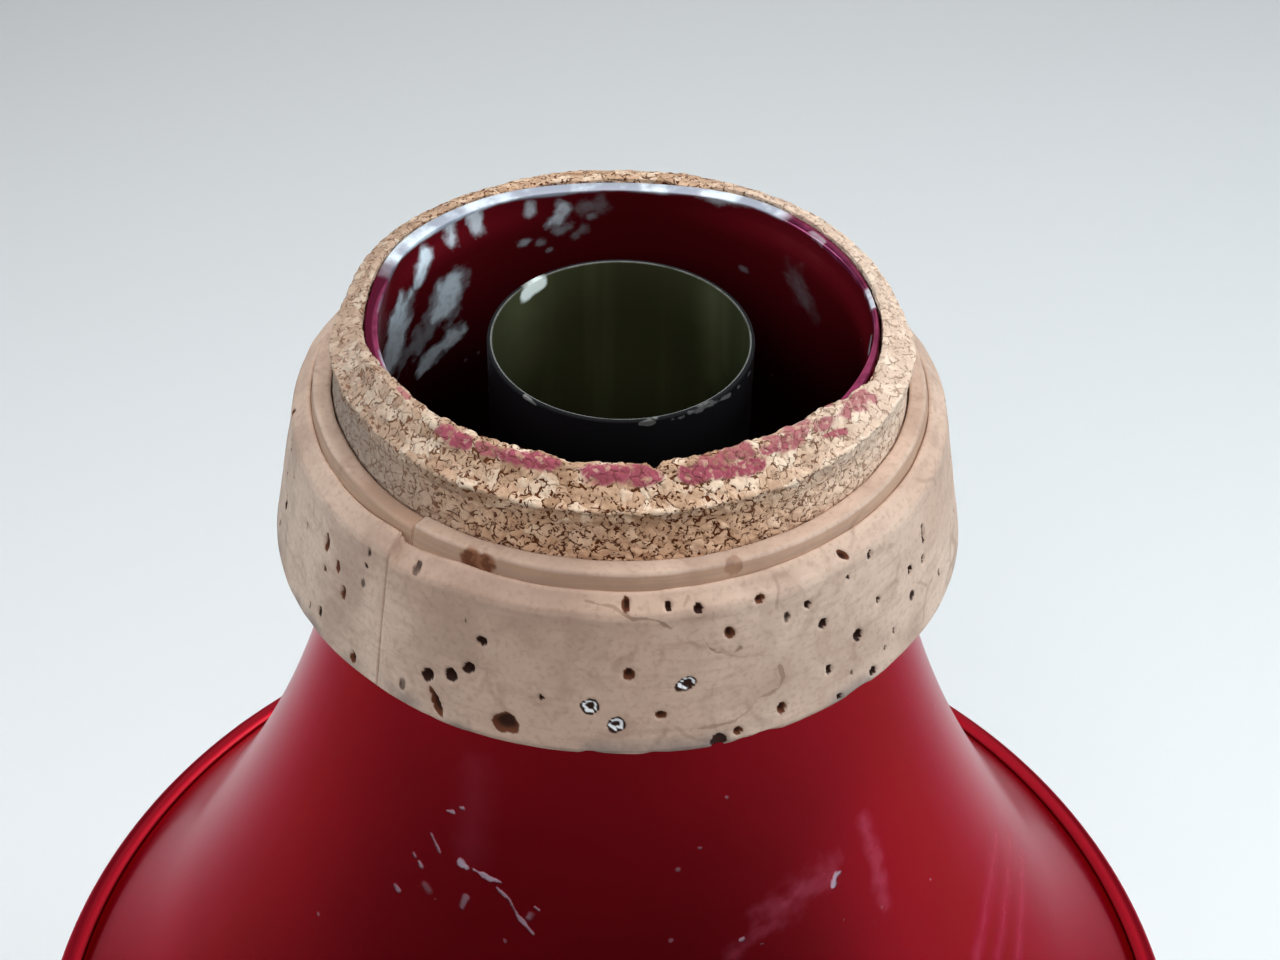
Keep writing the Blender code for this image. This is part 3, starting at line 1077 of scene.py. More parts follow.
@dataclass(frozen=True)
class SheetCork:
    """Sanded natural cork: beige, cloudy, with fine veins and filled or open pores."""

    colour: Colour = (0.56, 0.385, 0.295)
    pale: Colour = (0.65, 0.475, 0.375)
    cloud: Colour = (0.38, 0.25, 0.19)
    lip_shade: Colour = (0.46, 0.275, 0.18)
    rubbed: Colour = (0.62, 0.48, 0.385)
    vein: Colour = (0.23, 0.13, 0.085)
    # Dark fill of open pores, also used as painted shade in the notch at the foot.
    dark: Colour = (0.030, 0.010, 0.006)
    brown: Colour = (0.125, 0.038, 0.016)
    grey: Colour = (0.20, 0.165, 0.155)
    knot: Colour = (0.25, 0.10, 0.05)
    chalk: Colour = (0.85, 0.86, 0.88)
    roughness: float = 0.62
    speck_noise: float = 3200.0
    speck_range: Range = (0.45, 0.75)
    speck_share: float = 0.25
    speck_depth: float = 0.012 * MM
    layers: Direction = (0.3, 0.3, 2.0)
    lip_layers: Direction = (0.2, 0.2, 5.0)
    band_drop: Range = (0.3 * MM, 0.12 * MM)
    band_share: float = 0.75
    lip_drop: Range = (0.2 * MM, 0.05 * MM)
    lip_share: float = 0.12
    vein_wander: float = 2.2 * MM
    vein_noise: float = 300.0
    vein_cells: float = 190.0
    vein_edge: Range = (0.006, 0.04)
    vein_depth: float = 0.03 * MM
    foot_rise: Range = (0.2 * MM, 1.5 * MM)
    pore_edge: Range = (0.2, 0.7)
    toned: Patch = Patch(90.0, 3.0, 0.35, 0.65)
    broad: Patch = Patch(130.0, 4.0, 0.42, 0.68, 0.0, 0.7, 0.4)
    patchy: Patch = Patch(420.0, 5.0, 0.48, 0.72, 0.0, 0.5, 0.8)
    layered: Patch = Patch(900.0, 4.0, 0.48, 0.72, 0.0, 0.35)
    streaked: Patch = Patch(700.0, 3.0, 0.45, 0.62, 0.0, 0.7)
    veined: Patch = Patch(240.0, 2.0, 0.52, 0.66, 0.0, 0.3)
    knotted: Patch = Patch(1700.0, 3.0, 0.42, 0.6)
    handled: Patch = Patch(210.0, 4.0, 0.46, 0.62, 0.0, 0.75)

    def make(
        self,
        effects: Effects,
        obj: Piece,
        veins: Sequence[Mark] = (),
        spots: Sequence[Mark] = (),
        foot: Optional[float] = None,
        lip: Optional[float] = None,
    ) -> Material:
        """Make the cork of one strip, which may carry a colour attribute of its pores.

        Args:
            effects: Shared groups.
            obj: Strip to dress.
            veins: Fine brown cracks.
            spots: Brown knots.
            foot: Height of a soiled lower edge.
            lip: Height below which an edge is browner, as painted shade on the lip's outer face.

        Returns:
            The material.
        """
        material, sheet, shader = new_material(
            f"sheet_{obj.name}", Specular_IOR_Level=0.12, Roughness=self.roughness
        )
        place = sheet.place()
        height = sheet.parts(place)[2]
        speck = sheet.noise(place, self.speck_noise, 3.0)
        colour = sheet.mix(sheet.patches(place, self.toned), self.colour, self.pale)
        colour = sheet.mix(sheet.patches(place, self.broad), colour, self.cloud)
        colour = sheet.mix(sheet.patches(place, self.patchy), colour, self.cloud)
        specks = sheet.remap(speck, *self.speck_range, 0.0, self.speck_share)
        colour = sheet.mix(specks, colour, self.vein)
        flat = sheet.vector("MULTIPLY", place, self.layers)
        colour = sheet.mix(sheet.patches(flat, self.layered), colour, self.cloud)
        if lip is not None:
            # Below its top the lip's outer face is mixed browner: painted shade on the step above the outer
            # strip.
            browner = sheet.fade(height, *(lip - drop for drop in self.band_drop), self.band_share)
            colour = sheet.mix(browner, colour, self.lip_shade)
            flat = sheet.vector("MULTIPLY", place, self.lip_layers)
            streaks = sheet.times(browner, sheet.patches(flat, self.streaked))
            colour = sheet.mix(streaks, colour, self.cloud)
            handled = sheet.remap(height, *(lip - drop for drop in self.lip_drop), 0.0, self.lip_share)
            colour = sheet.mix(handled, colour, self.rubbed)
        bent = sheet.bend(place, self.vein_noise, self.vein_wander)
        line = sheet.voronoi(bent, self.vein_cells, "DISTANCE_TO_EDGE", "Distance")
        crack = sheet.times(sheet.fade(line, *self.vein_edge), sheet.patches(place, self.veined))
        crack = sheet.most(crack, effects.marks(sheet, place, obj, veins))
        colour = sheet.mix(crack, colour, self.vein)
        if spots:
            knot = sheet.mix(sheet.patches(place, self.knotted), self.knot, self.brown)
            colour = sheet.mix(effects.marks(sheet, place, obj, spots), colour, knot)
        if foot is not None:
            darkened = sheet.fade(height, *(foot + rise for rise in self.foot_rise))
            darkened = sheet.times(darkened, sheet.patches(place, self.handled))
            colour = sheet.mix(darkened, colour, self.grey)
        split = sheet.node("ShaderNodeSeparateColor", {0: sheet.attribute(PORES, "Color")}).outputs
        dark_pore_and_notch_shade, brown, chalk = (sheet.remap(split[i], *self.pore_edge) for i in range(3))
        for share, filling in ((brown, self.brown), (dark_pore_and_notch_shade, self.dark), (chalk, self.chalk)):
            colour = sheet.mix(share, colour, filling)
        relief = sheet.bump(speck, self.speck_depth)
        sheet.wire(shader, Base_Color=colour, Normal=sheet.bump(crack, -self.vein_depth, relief))
        return material


@dataclass(frozen=True)
class TurnedMetal:
    """Bare turned metal with fine tool lines."""

    colour: Colour = (0.60, 0.60, 0.61)
    dull: Colour = (0.42, 0.42, 0.43)
    roughness: float = 0.28
    ring_rough: float = 0.2
    ring_depth: float = 0.01 * MM
    tarnished: Patch = Patch(260.0, 4.0, 0.4, 0.7)

    def make(self, effects: Effects, obj: Piece) -> Material:
        """Make the metal of a piece."""
        material, sheet, shader = new_material(f"metal_{obj.name}", Metallic=1.0)
        place = sheet.place()
        lines = effects.of(sheet, effects.rings, Place=place)
        sheet.wire(
            shader,
            Base_Color=sheet.mix(sheet.patches(place, self.tarnished), self.colour, self.dull),
            Roughness=sheet.scaled(lines, self.ring_rough, self.roughness),
            Normal=sheet.bump(lines, self.ring_depth),
        )
        return material


# Sub-assemblies


@dataclass
class Shells:
    """The spun body: a shell with mouth, neck and flare, and a bowl whose hem folds over its flange.

    The rim is worn thin about an angle in degrees.
    """

    sheet: float = 0.8 * MM
    mouth_radius: float = 14.92 * MM
    neck_length: float = 14.5 * MM
    neck_gain: float = 2.28 * MM
    flare_length: float = 52.0 * MM
    flare_end: float = 42.1 * MM
    flare_slope: float = 0.2
    fold_gap: float = 0.3 * MM
    kick: float = 1.3 * MM
    kick_length: float = 12.0 * MM
    bead: float = 1.25 * MM
    base_flat: float = 17.0 * MM
    base_hole: float = 10.65 * MM
    thin_at: float = 96.0
    thin_spread: float = 30.0
    thinned: float = 0.50 * MM
    steps: int = 224
    curve_points: int = 48
    edge: float = 0.12 * MM
    scratches: tuple[Mark, ...] = (
        *trail(((461, 863), (466, 868)), 0.36, 0.7, 0.9, 0.3),
        *trail(((474, 870), (488, 878), (501, 882)), 0.26, 0.8, 0.85, 0.3),
        *trail(((497, 888), (509, 899), (518, 916), (533, 934)), 0.20, 0.8, 0.65, 0.4),
        *trail(((432, 835), (438, 848), (440, 852)), 0.20, 0.7, 0.5, 0.4),
        Mark((447, 811), (453, 812), 0.24, 0.7, 0.75, 0.3),
        Mark((461, 808), (463, 808), 0.28, 0.6, 0.75, 0.3),
        Mark((414, 854), (415, 856), 0.28, 0.6, 0.6, 0.4),
        Mark((419, 862), (421, 866), 0.26, 0.6, 0.6, 0.4),
        Mark((396, 886), (398, 889), 0.28, 0.6, 0.5, 0.4),
        Mark((466, 897), (462, 907), 0.24, 0.7, 0.4, 0.5),
        Mark((530, 914), (529, 917), 0.28, 0.6, 0.4, 0.5),
        Mark((535, 907), (539, 910), 0.18, 0.6, 0.5, 0.3),
        Mark((424, 884), (428, 889), 0.34, 0.6, 0.2, 0.6),
        *trail(((834, 884), (836, 875), (840, 872)), 0.34, 0.7, 0.8, 0.3),
        Mark((741, 940), (743, 939), 0.26, 0.6, 0.6, 0.3),
        Mark((936, 704), (936, 708), 0.26, 0.6, 0.25, 0.5),
        Mark((726, 797), (727, 798), 0.20, 0.5, 0.3, 0.4),
        Mark((699, 848), (701, 848), 0.20, 0.5, 0.3, 0.4),
    )
    scuffs_and_reflections: tuple[Mark, ...] = (
        *trail(((770, 915), (796, 895), (826, 872)), 1.5, 0.6, 0.42, 0.7),
        *trail(((786, 904), (802, 888)), 0.8, 0.5, 0.6, 0.6),
        *trail(((728, 958), (752, 940), (775, 922)), 0.9, 0.5, 0.35, 0.5),
        *trail(((864, 822), (876, 860), (884, 900)), 1.0, 0.4, 0.40, 0.6),
        # These three long upright streaks at the right are painted reflections, drawn as soft pale marks.
        *trail(((997, 832), (993, 862), (986, 905), (977, 955)), 1.0, 0.25, 0.42, 0.9),
        *trail(((1010, 832), (1008, 870), (1004, 910), (998, 955)), 0.9, 0.25, 0.38, 0.9),
        *trail(((1022, 850), (1022, 880), (1021, 915), (1018, 955)), 1.0, 0.25, 0.42, 0.9),
        *trail(((477, 770), (474, 805), (470, 850)), 1.8, 0.2, 0.16, 0.7),
    )
    rubs: tuple[Mark, ...] = (
        Mark((425, 254), (420, 279), 1.4, 0.24, 1.0, 0.22),
        Mark((449, 288), (443, 307), 3.0, 0.18, 1.0, 0.2),
        Mark((399, 319), (392, 354), 3.8, 0.2, 1.0, 0.2),
        Mark((424, 364), (456, 334), 1.6, 0.34, 0.9, 0.25),
        Mark((452, 222), (452, 240), 1.2, 0.42, 0.8, 0.3),
        Mark((473, 215), (478, 228), 1.1, 0.40, 0.8, 0.3),
        Mark((530, 206), (530, 212), 0.8, 0.26, 0.75, 0.3),
        Mark((563, 209), (557, 219), 1.1, 0.40, 0.85, 0.3),
        Mark((586, 208), (598, 206), 1.1, 0.60, 0.35, 0.5),
        Mark((590, 216), (593, 215), 0.6, 0.40, 0.6, 0.4),
        Mark((560, 233), (569, 228), 0.8, 0.60, 0.6, 0.4),
        Mark((575, 234), (583, 228), 0.6, 0.60, 0.4, 0.5),
        Mark((523, 243), (528, 241), 0.8, 0.45, 0.7, 0.3),
        Mark((539, 243), (542, 243), 0.6, 0.45, 0.5, 0.4),
        Mark((549, 250), (551, 249), 0.4, 0.45, 0.5, 0.4),
        Mark((704, 194), (746, 200), 0.9, 0.40, 0.7, 0.3),
        Mark((410, 350), (442, 316), 2.2, 0.60, 0.5, 0.4),
        Mark((796, 278), (806, 304), 1.2, 0.6, 0.2, 0.8),
        Mark((743, 269), (745, 270), 0.45, 0.30, 0.35, 0.4),
        Mark((868, 292), (874, 305), 0.75, 0.30, 0.9, 0.3),
        Mark((871, 338), (869, 352), 0.40, 0.40, 0.6, 0.3),
        Mark((812, 232), (824, 242), 0.45, 0.50, 0.6, 0.3),
    )

    def build(self, effects: Effects) -> None:
        """Turn and dress both shells."""
        finish = RedLacquer()
        neck = self.neck()
        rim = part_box("neck_shell")[1].z
        lacquer = finish.make(effects, neck, self.scratches, self.scuffs_and_reflections, self.rubs, rim)
        hand_over(neck, lacquer, "neck_shell", Body.MUTE, Slot.LACQUER)
        bowl = self.bowl()
        hand_over(bowl, finish.make(effects, bowl), "base_shell", Body.MUTE, Slot.LACQUER)

    def flare(self, drop: float) -> float:
        """Outer radius at a drop below the neck foot."""
        foot = self.mouth_radius + self.neck_gain
        rest = self.flare_end - foot - self.flare_slope * self.flare_length
        kicked = max(0.0, drop - self.flare_length + self.kick_length) / self.kick_length
        return foot + self.flare_slope * drop + rest * (drop / self.flare_length) ** 2 + self.kick * kicked**2

    def neck(self) -> Piece:
        """Upper shell, its mouth a little out of round and its rim worn thin at the right."""
        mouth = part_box("neck_shell")[1].z
        foot = mouth - self.neck_length
        line = divide([(self.mouth_radius, mouth), (self.flare(0.0), foot)], 0.6 * MM)
        for i in range(1, self.curve_points + 1):
            drop = self.flare_length * i / self.curve_points
            line.append((self.flare(drop), foot - drop))
        obj = turn("neck", wall(line, self.sheet), self.steps)
        ease_edges(obj, self.edge)
        note_inside(obj)
        places, _ = points_of(obj)
        reach = reach_of(places)
        outer = self.mouth_radius + self.neck_gain * (mouth - places[:, 2]) / self.neck_length
        inner = smooth((outer - reach) / self.sheet, 0.3, 0.9)
        inner *= smooth(places[:, 2], mouth - 2.6 * MM, mouth - 0.3 * MM)
        thinned = self.thinned * bell(turn_of(places), self.thin_at, self.thin_spread) * inner
        push_out(places, out_of_round(places, mouth) + thinned, reach)
        set_points(obj, places)
        return obj

    def bowl(self) -> Piece:
        """Lower shell."""
        low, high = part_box("base_shell")
        lip_foot = high.z - 2.0 * self.fold_gap - 3.0 * self.sheet
        line = arc((high.x - self.bead, high.z - self.bead), self.bead, 125.0, -90.0, 22)
        line.append((self.flare_end, lip_foot + 0.2 * MM))
        top_radius = self.flare_end - self.sheet
        for i in range(self.curve_points + 1):
            angle = math.pi / 2 * i / self.curve_points
            radius = self.base_flat + (top_radius - self.base_flat) * math.cos(angle)
            line.append((radius, lip_foot - (lip_foot - low.z) * math.sin(angle)))
        line.append((self.base_hole, low.z))
        obj = turn("bowl", wall(line, self.sheet), self.steps)
        ease_edges(obj, self.edge)
        note_inside(obj)
        return obj


@dataclass
class NeckCork:
    """The cork that seals the mute in a bell: a sleeve of pressed grains and two wraps of sheet cork.

    Heights of lumps, waves and the front's rise are in millimetres, and turns, butts, split and notch are
    angles in degrees.
    """

    mouth_radius: float = 14.92 * MM
    neck_slope: float = 2.28 / 14.5
    overhang: float = 0.45 * MM
    settled: float = 0.95 * MM
    grain_cells: float = 1400.0
    lump_edge: Range = (0.0, 0.35)
    lump_level: float = 0.7
    lump_height: float = 0.10
    sleeve_waves: Waves = ((0.10, 900.0), (0.07, 260.0))
    lip_waves: Waves = ((0.05, 500.0), (0.05, 120.0))
    skin_waves: Waves = ((0.07, 160.0), (0.025, 700.0))
    edge_noise: float = 130.0
    edge_wave: float = 0.18
    front_rise: float = 0.22
    away_turns: Range = (42.0, 72.0)
    away_left: float = 15.0
    away_relief: float = 0.55
    torn_noise: float = 420.0
    torn: float = 0.55 * MM
    lift_turn: float = 80.0
    lift_spread: float = 24.0
    lifted: float = 0.12 * MM
    rubbed: float = 0.6 * MM
    split: float = 7.5
    split_size: float = 0.45 * MM
    ridge_reach: float = 2.1 * MM
    ridge_drop: float = 0.5 * MM
    waist_reach: float = 1.6 * MM
    foot_reach: float = 1.9 * MM
    glue: float = 0.06 * MM
    wrap: float = 1.05 * MM
    bevel: float = 1.3 * MM
    inner_butt: float = -37.5
    outer_butt: float = -39.5
    butt_gap: float = 0.10 * MM
    inner_step: float = 0.28 * MM
    outer_step: float = 0.55 * MM
    chip: float = 0.45 * MM
    notch: float = 15.6
    notch_rise: float = 0.40 * MM
    notch_width: float = 0.46 * MM
    notch_height: float = 0.54 * MM
    notch_depth: float = 0.16 * MM
    spacing: float = 0.15 * MM
    coarse: float = 2.0 * MM
    sleeve_steps: int = 640
    wrap_steps: int = 820
    seed: int = 7
    smears: tuple[Mark, ...] = (
        *trail(((368, 338), (375, 351), (384, 363)), 0.6, 0.45, 0.8, 0.2),
        Mark((399, 388), (407, 398), 0.35, 0.6, 0.7),
        Mark((441, 430), (466, 442), 1.1, 0.22),
        Mark((478, 446), (497, 451), 0.7, 0.3, 0.85),
        Mark((506, 454), (552, 464), 1.05, 0.25),
        Mark((592, 471), (650, 477), 1.35, 0.22),
        Mark((688, 475), (760, 464), 1.1, 0.28),
        Mark((705, 464), (800, 437), 1.1, 0.45, 0.85),
        Mark((790, 438), (866, 397), 1.2, 0.45, 0.8),
        Mark((764, 452), (845, 431), 0.40, 0.25, 0.95),
    )
    veins: tuple[Mark, ...] = (
        *trail(
            ((704, 640), (709, 648), (716, 653), (725, 652), (733, 653), (740, 648)), 0.20, 0.9, 0.7, 0.4
        ),
        *trail(((779, 666), (783, 677), (779, 688), (769, 694)), 0.16, 0.9, 0.55, 0.4),
        *trail(
            ((769, 694), (756, 699), (750, 709), (735, 721), (716, 726), (698, 729)), 0.18, 0.8, 0.5, 0.4
        ),
        *trail(((586, 601), (600, 605), (613, 607), (623, 614)), 0.16, 0.9, 0.5, 0.4),
        *trail(((623, 614), (632, 620), (645, 619), (658, 621), (671, 629)), 0.18, 0.8, 0.7, 0.4),
        Mark((684, 606), (688, 597), 0.18, 0.5, 0.4, 0.4),
    )
    pores: tuple[Pore, ...] = (
        Pore((327, 542), 0.50, 1.35, Filling.BROWN),
        Pore((294, 476), 0.25, 0.60),
        Pore((307, 525), 0.30, 0.70, Filling.GREY),
        Pore((325, 568), 0.25, 0.55, Filling.BROWN),
        Pore((338, 567), 0.38, 0.85, Filling.BROWN),
        Pore((343, 593), 0.45, 1.00, Filling.BROWN),
        Pore((369, 552), 0.40, 0.75, Filling.GREY),
        Pore((366, 566), 0.22, 0.35),
        Pore((363, 583), 0.38, 0.75, Filling.GREY),
        Pore((310, 605), 0.25, 0.60, Filling.GREY),
        Pore((320, 611), 0.30, 0.70),
        Pore((324, 640), 0.30, 0.60, Filling.BROWN),
        Pore((353, 657), 0.42, 0.80, Filling.BROWN),
        Pore((402, 684), 0.55, 0.95, Filling.GREY),
        Pore((428, 675), 0.66, 1.05, Filling.DARK, 20.0),
        Pore((451, 675), 0.72, 0.90, Filling.DARK, 25.0),
        Pore((469, 668), 0.62, 0.80, Filling.DARK, 25.0),
        Pore((482, 641), 0.62, 0.55, Filling.DARK, 15.0),
        Pore((436, 702), 0.50, 1.90, Filling.BROWN, -28.0),
        Pore((506, 723), 1.50, 1.35, Filling.BROWN),
        Pore((541, 698), 0.30, 0.34),
        Pore((465, 620), 0.24, 0.40, Filling.GREY),
        Pore((590, 707), 1.02, 1.05, Filling.CHALK),
        Pore((616, 725), 1.08, 1.05, Filling.CHALK),
        Pore((686, 684), 1.32, 0.84, Filling.CHALK, -24.0),
        Pore((417, 568), 0.66, 0.70, Filling.GREY),
        Pore((626, 604), 0.48, 0.62, Filling.BROWN),
        Pore((668, 606), 0.46, 0.40),
        Pore((699, 609), 0.52, 0.52, Filling.DARK, 25.0),
        Pore((760, 599), 0.62, 0.50, Filling.BROWN, -20.0),
        Pore((808, 605), 0.42, 0.55),
        Pore((787, 617), 0.50, 0.80, Filling.GREY),
        Pore((823, 624), 0.58, 0.70, Filling.DARK, 20.0),
        Pore((858, 635), 0.62, 0.90),
        Pore((878, 600), 0.32, 0.55),
        Pore((870, 555), 0.34, 0.65),
        Pore((848, 577), 0.22, 0.36),
        Pore((843, 555), 0.36, 0.85, Filling.BROWN, -50.0),
        Pore((923, 533), 0.46, 1.40),
        Pore((923, 560), 0.42, 0.55),
        Pore((910, 570), 0.46, 0.72),
        Pore((939, 572), 0.34, 0.72, Filling.GREY),
        Pore((912, 595), 0.60, 0.85, Filling.GREY),
        Pore((894, 631), 0.26, 0.55),
        Pore((885, 648), 0.34, 0.55, Filling.GREY),
        Pore((873, 671), 0.50, 0.65),
        Pore((852, 672), 0.28, 0.46, Filling.GREY),
        Pore((829, 670), 0.34, 0.72),
        Pore((840, 697), 0.40, 0.46),
        Pore((782, 708), 0.55, 0.80, Filling.BROWN),
        Pore((730, 633), 0.58, 0.80, Filling.BROWN, -20.0),
        Pore((629, 674), 0.66, 0.80, Filling.BROWN, 15.0),
        Pore((661, 715), 0.60, 0.55, Filling.BROWN),
        Pore((738, 731), 0.52, 0.55, Filling.BROWN),
    )
    knots: tuple[Mark, ...] = (
        Mark((474, 561), (480, 563), 1.8, 0.22, 0.95),
        Mark((732, 567), (736, 566), 0.9, 0.4, 0.5),
        Mark((925, 441), (927, 444), 0.8, 0.4, 0.5),
    )
    hidden_pores: int = 90

    def __post_init__(self) -> None:
        """Take the heights from the frame."""
        self.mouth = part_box("neck_shell")[1].z
        self.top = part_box("cork_sleeve")[1].z
        self.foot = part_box("cork_sleeve")[0].z
        self.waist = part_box("cork_inner_wrap")[1].z
        self.outer_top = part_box("cork_outer_wrap")[1].z

    def build(self, effects: Effects) -> None:
        """Turn, shape and dress the sleeve and the wraps."""
        sleeve = self.sleeve()
        grains = GrainCork().make(effects, sleeve, self.smears, self.mouth - self.ridge_drop)
        hand_over(sleeve, grains, "cork_sleeve", Body.MUTE, Slot.GRAIN)
        finish = SheetCork()
        inner = self.inner_wrap()
        lip = finish.make(effects, inner, spots=self.knots, lip=self.waist)
        hand_over(inner, lip, "cork_inner_wrap", Body.MUTE, Slot.SHEET)
        outer = self.outer_wrap()
        skin = finish.make(effects, outer, self.veins, foot=self.foot)
        hand_over(outer, skin, "cork_outer_wrap", Body.MUTE, Slot.SHEET)

    def close(self, shown: Outline, hidden: Outline) -> Outline:
        """Join a line that shows, finely divided, and the rest of the outline."""
        return divide(shown, self.spacing) + divide([shown[-1]] + hidden, self.coarse)[1:]

    def sleeve_radius(self, height: float) -> float:
        """Outer radius of the sleeve where the wraps lie on it."""
        share = (self.waist - height) / (self.waist - self.foot)
        neck = self.mouth_radius + self.neck_slope * (self.mouth - height)
        return neck + self.waist_reach + (self.foot_reach - self.waist_reach) * share

    def sleeve(self) -> Piece:
        """Ring of pressed grains, bevelled at the top, with a rough torn inner edge."""
        lip = self.mouth_radius - self.overhang
        ridge = self.mouth_radius + self.ridge_reach
        ridge_level = self.mouth - self.ridge_drop
        shelf = self.mouth + self.glue
        waist = self.sleeve_radius(self.waist)
        shown = [(lip, shelf), (lip, self.top - 0.45 * MM), (lip + 0.3 * MM, self.top - 0.1 * MM)]
        shown += [(lip + 0.85 * MM, self.top), (ridge - 0.50 * MM, ridge_level + 0.36 * MM)]
        shown += arc((ridge - 0.2 * MM, ridge_level), 0.2 * MM, 50.0, -60.0, 4)
        shown += [(waist - 0.10 * MM, ridge_level - 0.55 * MM), (waist - 0.22 * MM, ridge_level - 1.3 * MM)]
        shown += [(waist - 0.1 * MM, self.waist + 0.7 * MM), (waist, self.waist - 0.6 * MM)]
        hidden = [(self.sleeve_radius(self.foot), self.foot)]
        hidden += [(self.mouth_radius + self.neck_slope * (self.mouth - self.foot) + self.glue, self.foot)]
        hidden += [(self.mouth_radius + self.glue, shelf), (lip, shelf)]
        obj = turn("sleeve", self.close(shown, hidden), self.sleeve_steps)
        self.grain(obj)
        return obj

    def grain(self, obj: Piece) -> None:
        """Raise the grains, tear the inner edge and lift the cork off the neck at the right."""
        places, normals = points_of(obj)
        turns = turn_of(places)
        reach = reach_of(places)
        shown = smooth(places[:, 2], self.waist - 0.4 * MM, self.waist + 0.2 * MM)
        lumps = smooth(cells(places, self.grain_cells), *self.lump_edge) - self.lump_level
        relief = uneven(places, self.sleeve_waves, self.lump_height * lumps)
        edge = smooth(places[:, 2], self.top - 0.75 * MM, self.top - 0.15 * MM)
        inner = smooth(-reach, -(self.mouth_radius + 0.9 * MM), -self.mouth_radius)
        torn = smooth(rough(places, self.torn_noise, 3), 0.0, 0.9) * edge * inner
        wave = rough(places * np.array([1.0, 1.0, 0.2]), self.edge_noise, 2)
        above = smooth(places[:, 2], self.mouth - self.ridge_drop, self.top)
        away = smooth(np.where(turns < 0.0, -turns - self.away_left, turns), *self.away_turns)
        raised = shown * relief * (1.0 - self.away_relief * away) * MM
        places = places + normals * raised[:, None]
        places[:, 2] -= torn * self.torn + above * away * self.settled
        places[:, 2] += edge * (wave * self.edge_wave + (1.0 - away) * self.front_rise) * MM
        drawn = np.clip(self.mouth_radius + 1.4 * self.glue - reach, 0.0, None) * away
        side = bell(turns, self.lift_turn, self.lift_spread)
        side *= smooth(places[:, 2], self.waist, self.mouth)
        lift = side * self.lifted + drawn + out_of_round(places, self.mouth)
        back = smooth(np.abs(turns), 80.0, 100.0) * smooth(-np.abs(turns), -170.0, -145.0) * shown
        outer = smooth(reach, self.mouth_radius + 0.6 * MM, self.mouth_radius + 1.9 * MM)
        push_out(places, lift - back * outer * self.rubbed, reach)
        across = np.radians(turns - self.split) * self.mouth_radius
        wedge = np.clip(1.0 - np.abs(across) / self.split_size, 0.0, 1.0) * inner * edge
        places[:, 2] -= wedge * self.split_size
        set_points(obj, places)

    def inner_wrap(self) -> Piece:
        """Narrow lip of the first strip, above the second."""
        inside = self.sleeve_radius(self.waist) + self.glue
        inside_foot = self.sleeve_radius(self.foot) + self.glue
        top = self.waist
        shown = [(inside, top - 0.5 * MM), (inside, top - 0.08 * MM), (inside + 0.08 * MM, top)]
        shown += [(inside + self.wrap - 0.14 * MM, top - 0.03 * MM)]
        shown += [(inside + self.wrap - 0.01 * MM, top - 0.16 * MM)]
        shown += [(self.sleeve_radius(top - 1.5 * MM) + self.glue + self.wrap, top - 1.5 * MM)]
        hidden = [(inside_foot + self.wrap, self.foot), (inside_foot, self.foot), shown[0]]
        gap = math.degrees(self.butt_gap / inside)
        obj = turn("inner_wrap", self.close(shown, hidden), self.sleeve_steps, self.inner_butt, gap)
        places, normals = points_of(obj)
        shown_part = smooth(places[:, 2], top - 1.8 * MM, top - 1.2 * MM)
        raised = shown_part * uneven(places, self.lip_waves) * MM
        places = places + normals * raised[:, None]
        past = self.inner_butt - turn_of(places)
        stepped = smooth(past, -0.2, 0.2) * smooth(-past, -30.0, -2.0)
        places[:, 2] -= shown_part * stepped * self.inner_step
        set_points(obj, places)
        return obj

    def outer_wrap(self) -> Piece:
        """Second strip, with a worn top edge, pores and a chipped foot."""
        under = self.glue + self.wrap + self.glue
        top = self.outer_top
        inside = self.sleeve_radius(top) + under
        foot_inside = self.sleeve_radius(self.foot) + under
        low_bevel = top - self.bevel
        skin = self.sleeve_radius(low_bevel) + under + self.wrap
        foot_skin = foot_inside + self.wrap
        lowered = top - 0.22 * MM
        shown = [(inside, lowered - 0.5 * MM), (inside, lowered - 0.06 * MM), (inside + 0.08 * MM, lowered)]
        shown += [(inside + 0.24 * MM, lowered - 0.03 * MM), (skin - 0.22 * MM, low_bevel + 0.28 * MM)]
        shown += [(skin - 0.06 * MM, low_bevel - 0.06 * MM), (skin, low_bevel - 0.5 * MM)]
        shown += [(foot_skin - 0.03 * MM, self.foot + 0.35 * MM), (foot_skin - 0.2 * MM, self.foot)]
        hidden = [(foot_inside, self.foot), shown[0]]
        gap = math.degrees(self.butt_gap / skin)
        obj = turn("outer_wrap", self.close(shown, hidden), self.wrap_steps, self.outer_butt, gap)
        self.weather(obj)
        self.open_pores(obj, skin)
        return obj

    def weather(self, obj: Piece) -> None:
        """Make the strip uneven, wave its edges and chip its foot."""
        places, normals = points_of(obj)
        places = places + normals * (uneven(places, self.skin_waves) * MM)[:, None]
        near = smooth(places[:, 2], self.outer_top - 3.0 * MM, self.outer_top - 1.3 * MM)
        places[:, 2] += near * rough(places * np.array([1.0, 1.0, 0.1]), 190.0, 2) * 0.16 * MM
        chips = smooth(rough(places * np.array([1.0, 1.0, 0.1]), 260.0, 3), 0.25, 0.9)
        low = smooth(-places[:, 2], -(self.foot + 0.5 * MM), -self.foot)
        places[:, 2] += low * chips * self.chip
        past = turn_of(places) - self.outer_butt
        sagged = smooth(past, -0.2, 0.2) * smooth(-past, -16.0, -1.0)
        upper = smooth(places[:, 2], self.outer_top - 3.0 * MM, self.outer_top - 0.3 * MM)
        places[:, 2] -= sagged * upper * self.outer_step
        reach = reach_of(places)
        skin = self.sleeve_radius(self.foot) + 2 * (self.glue + self.wrap)
        outside = smooth(reach, skin - 0.7 * MM, skin - 0.35 * MM)
        push_out(places, self.bite(places) * outside * -self.notch_depth, reach)
        set_points(obj, places)

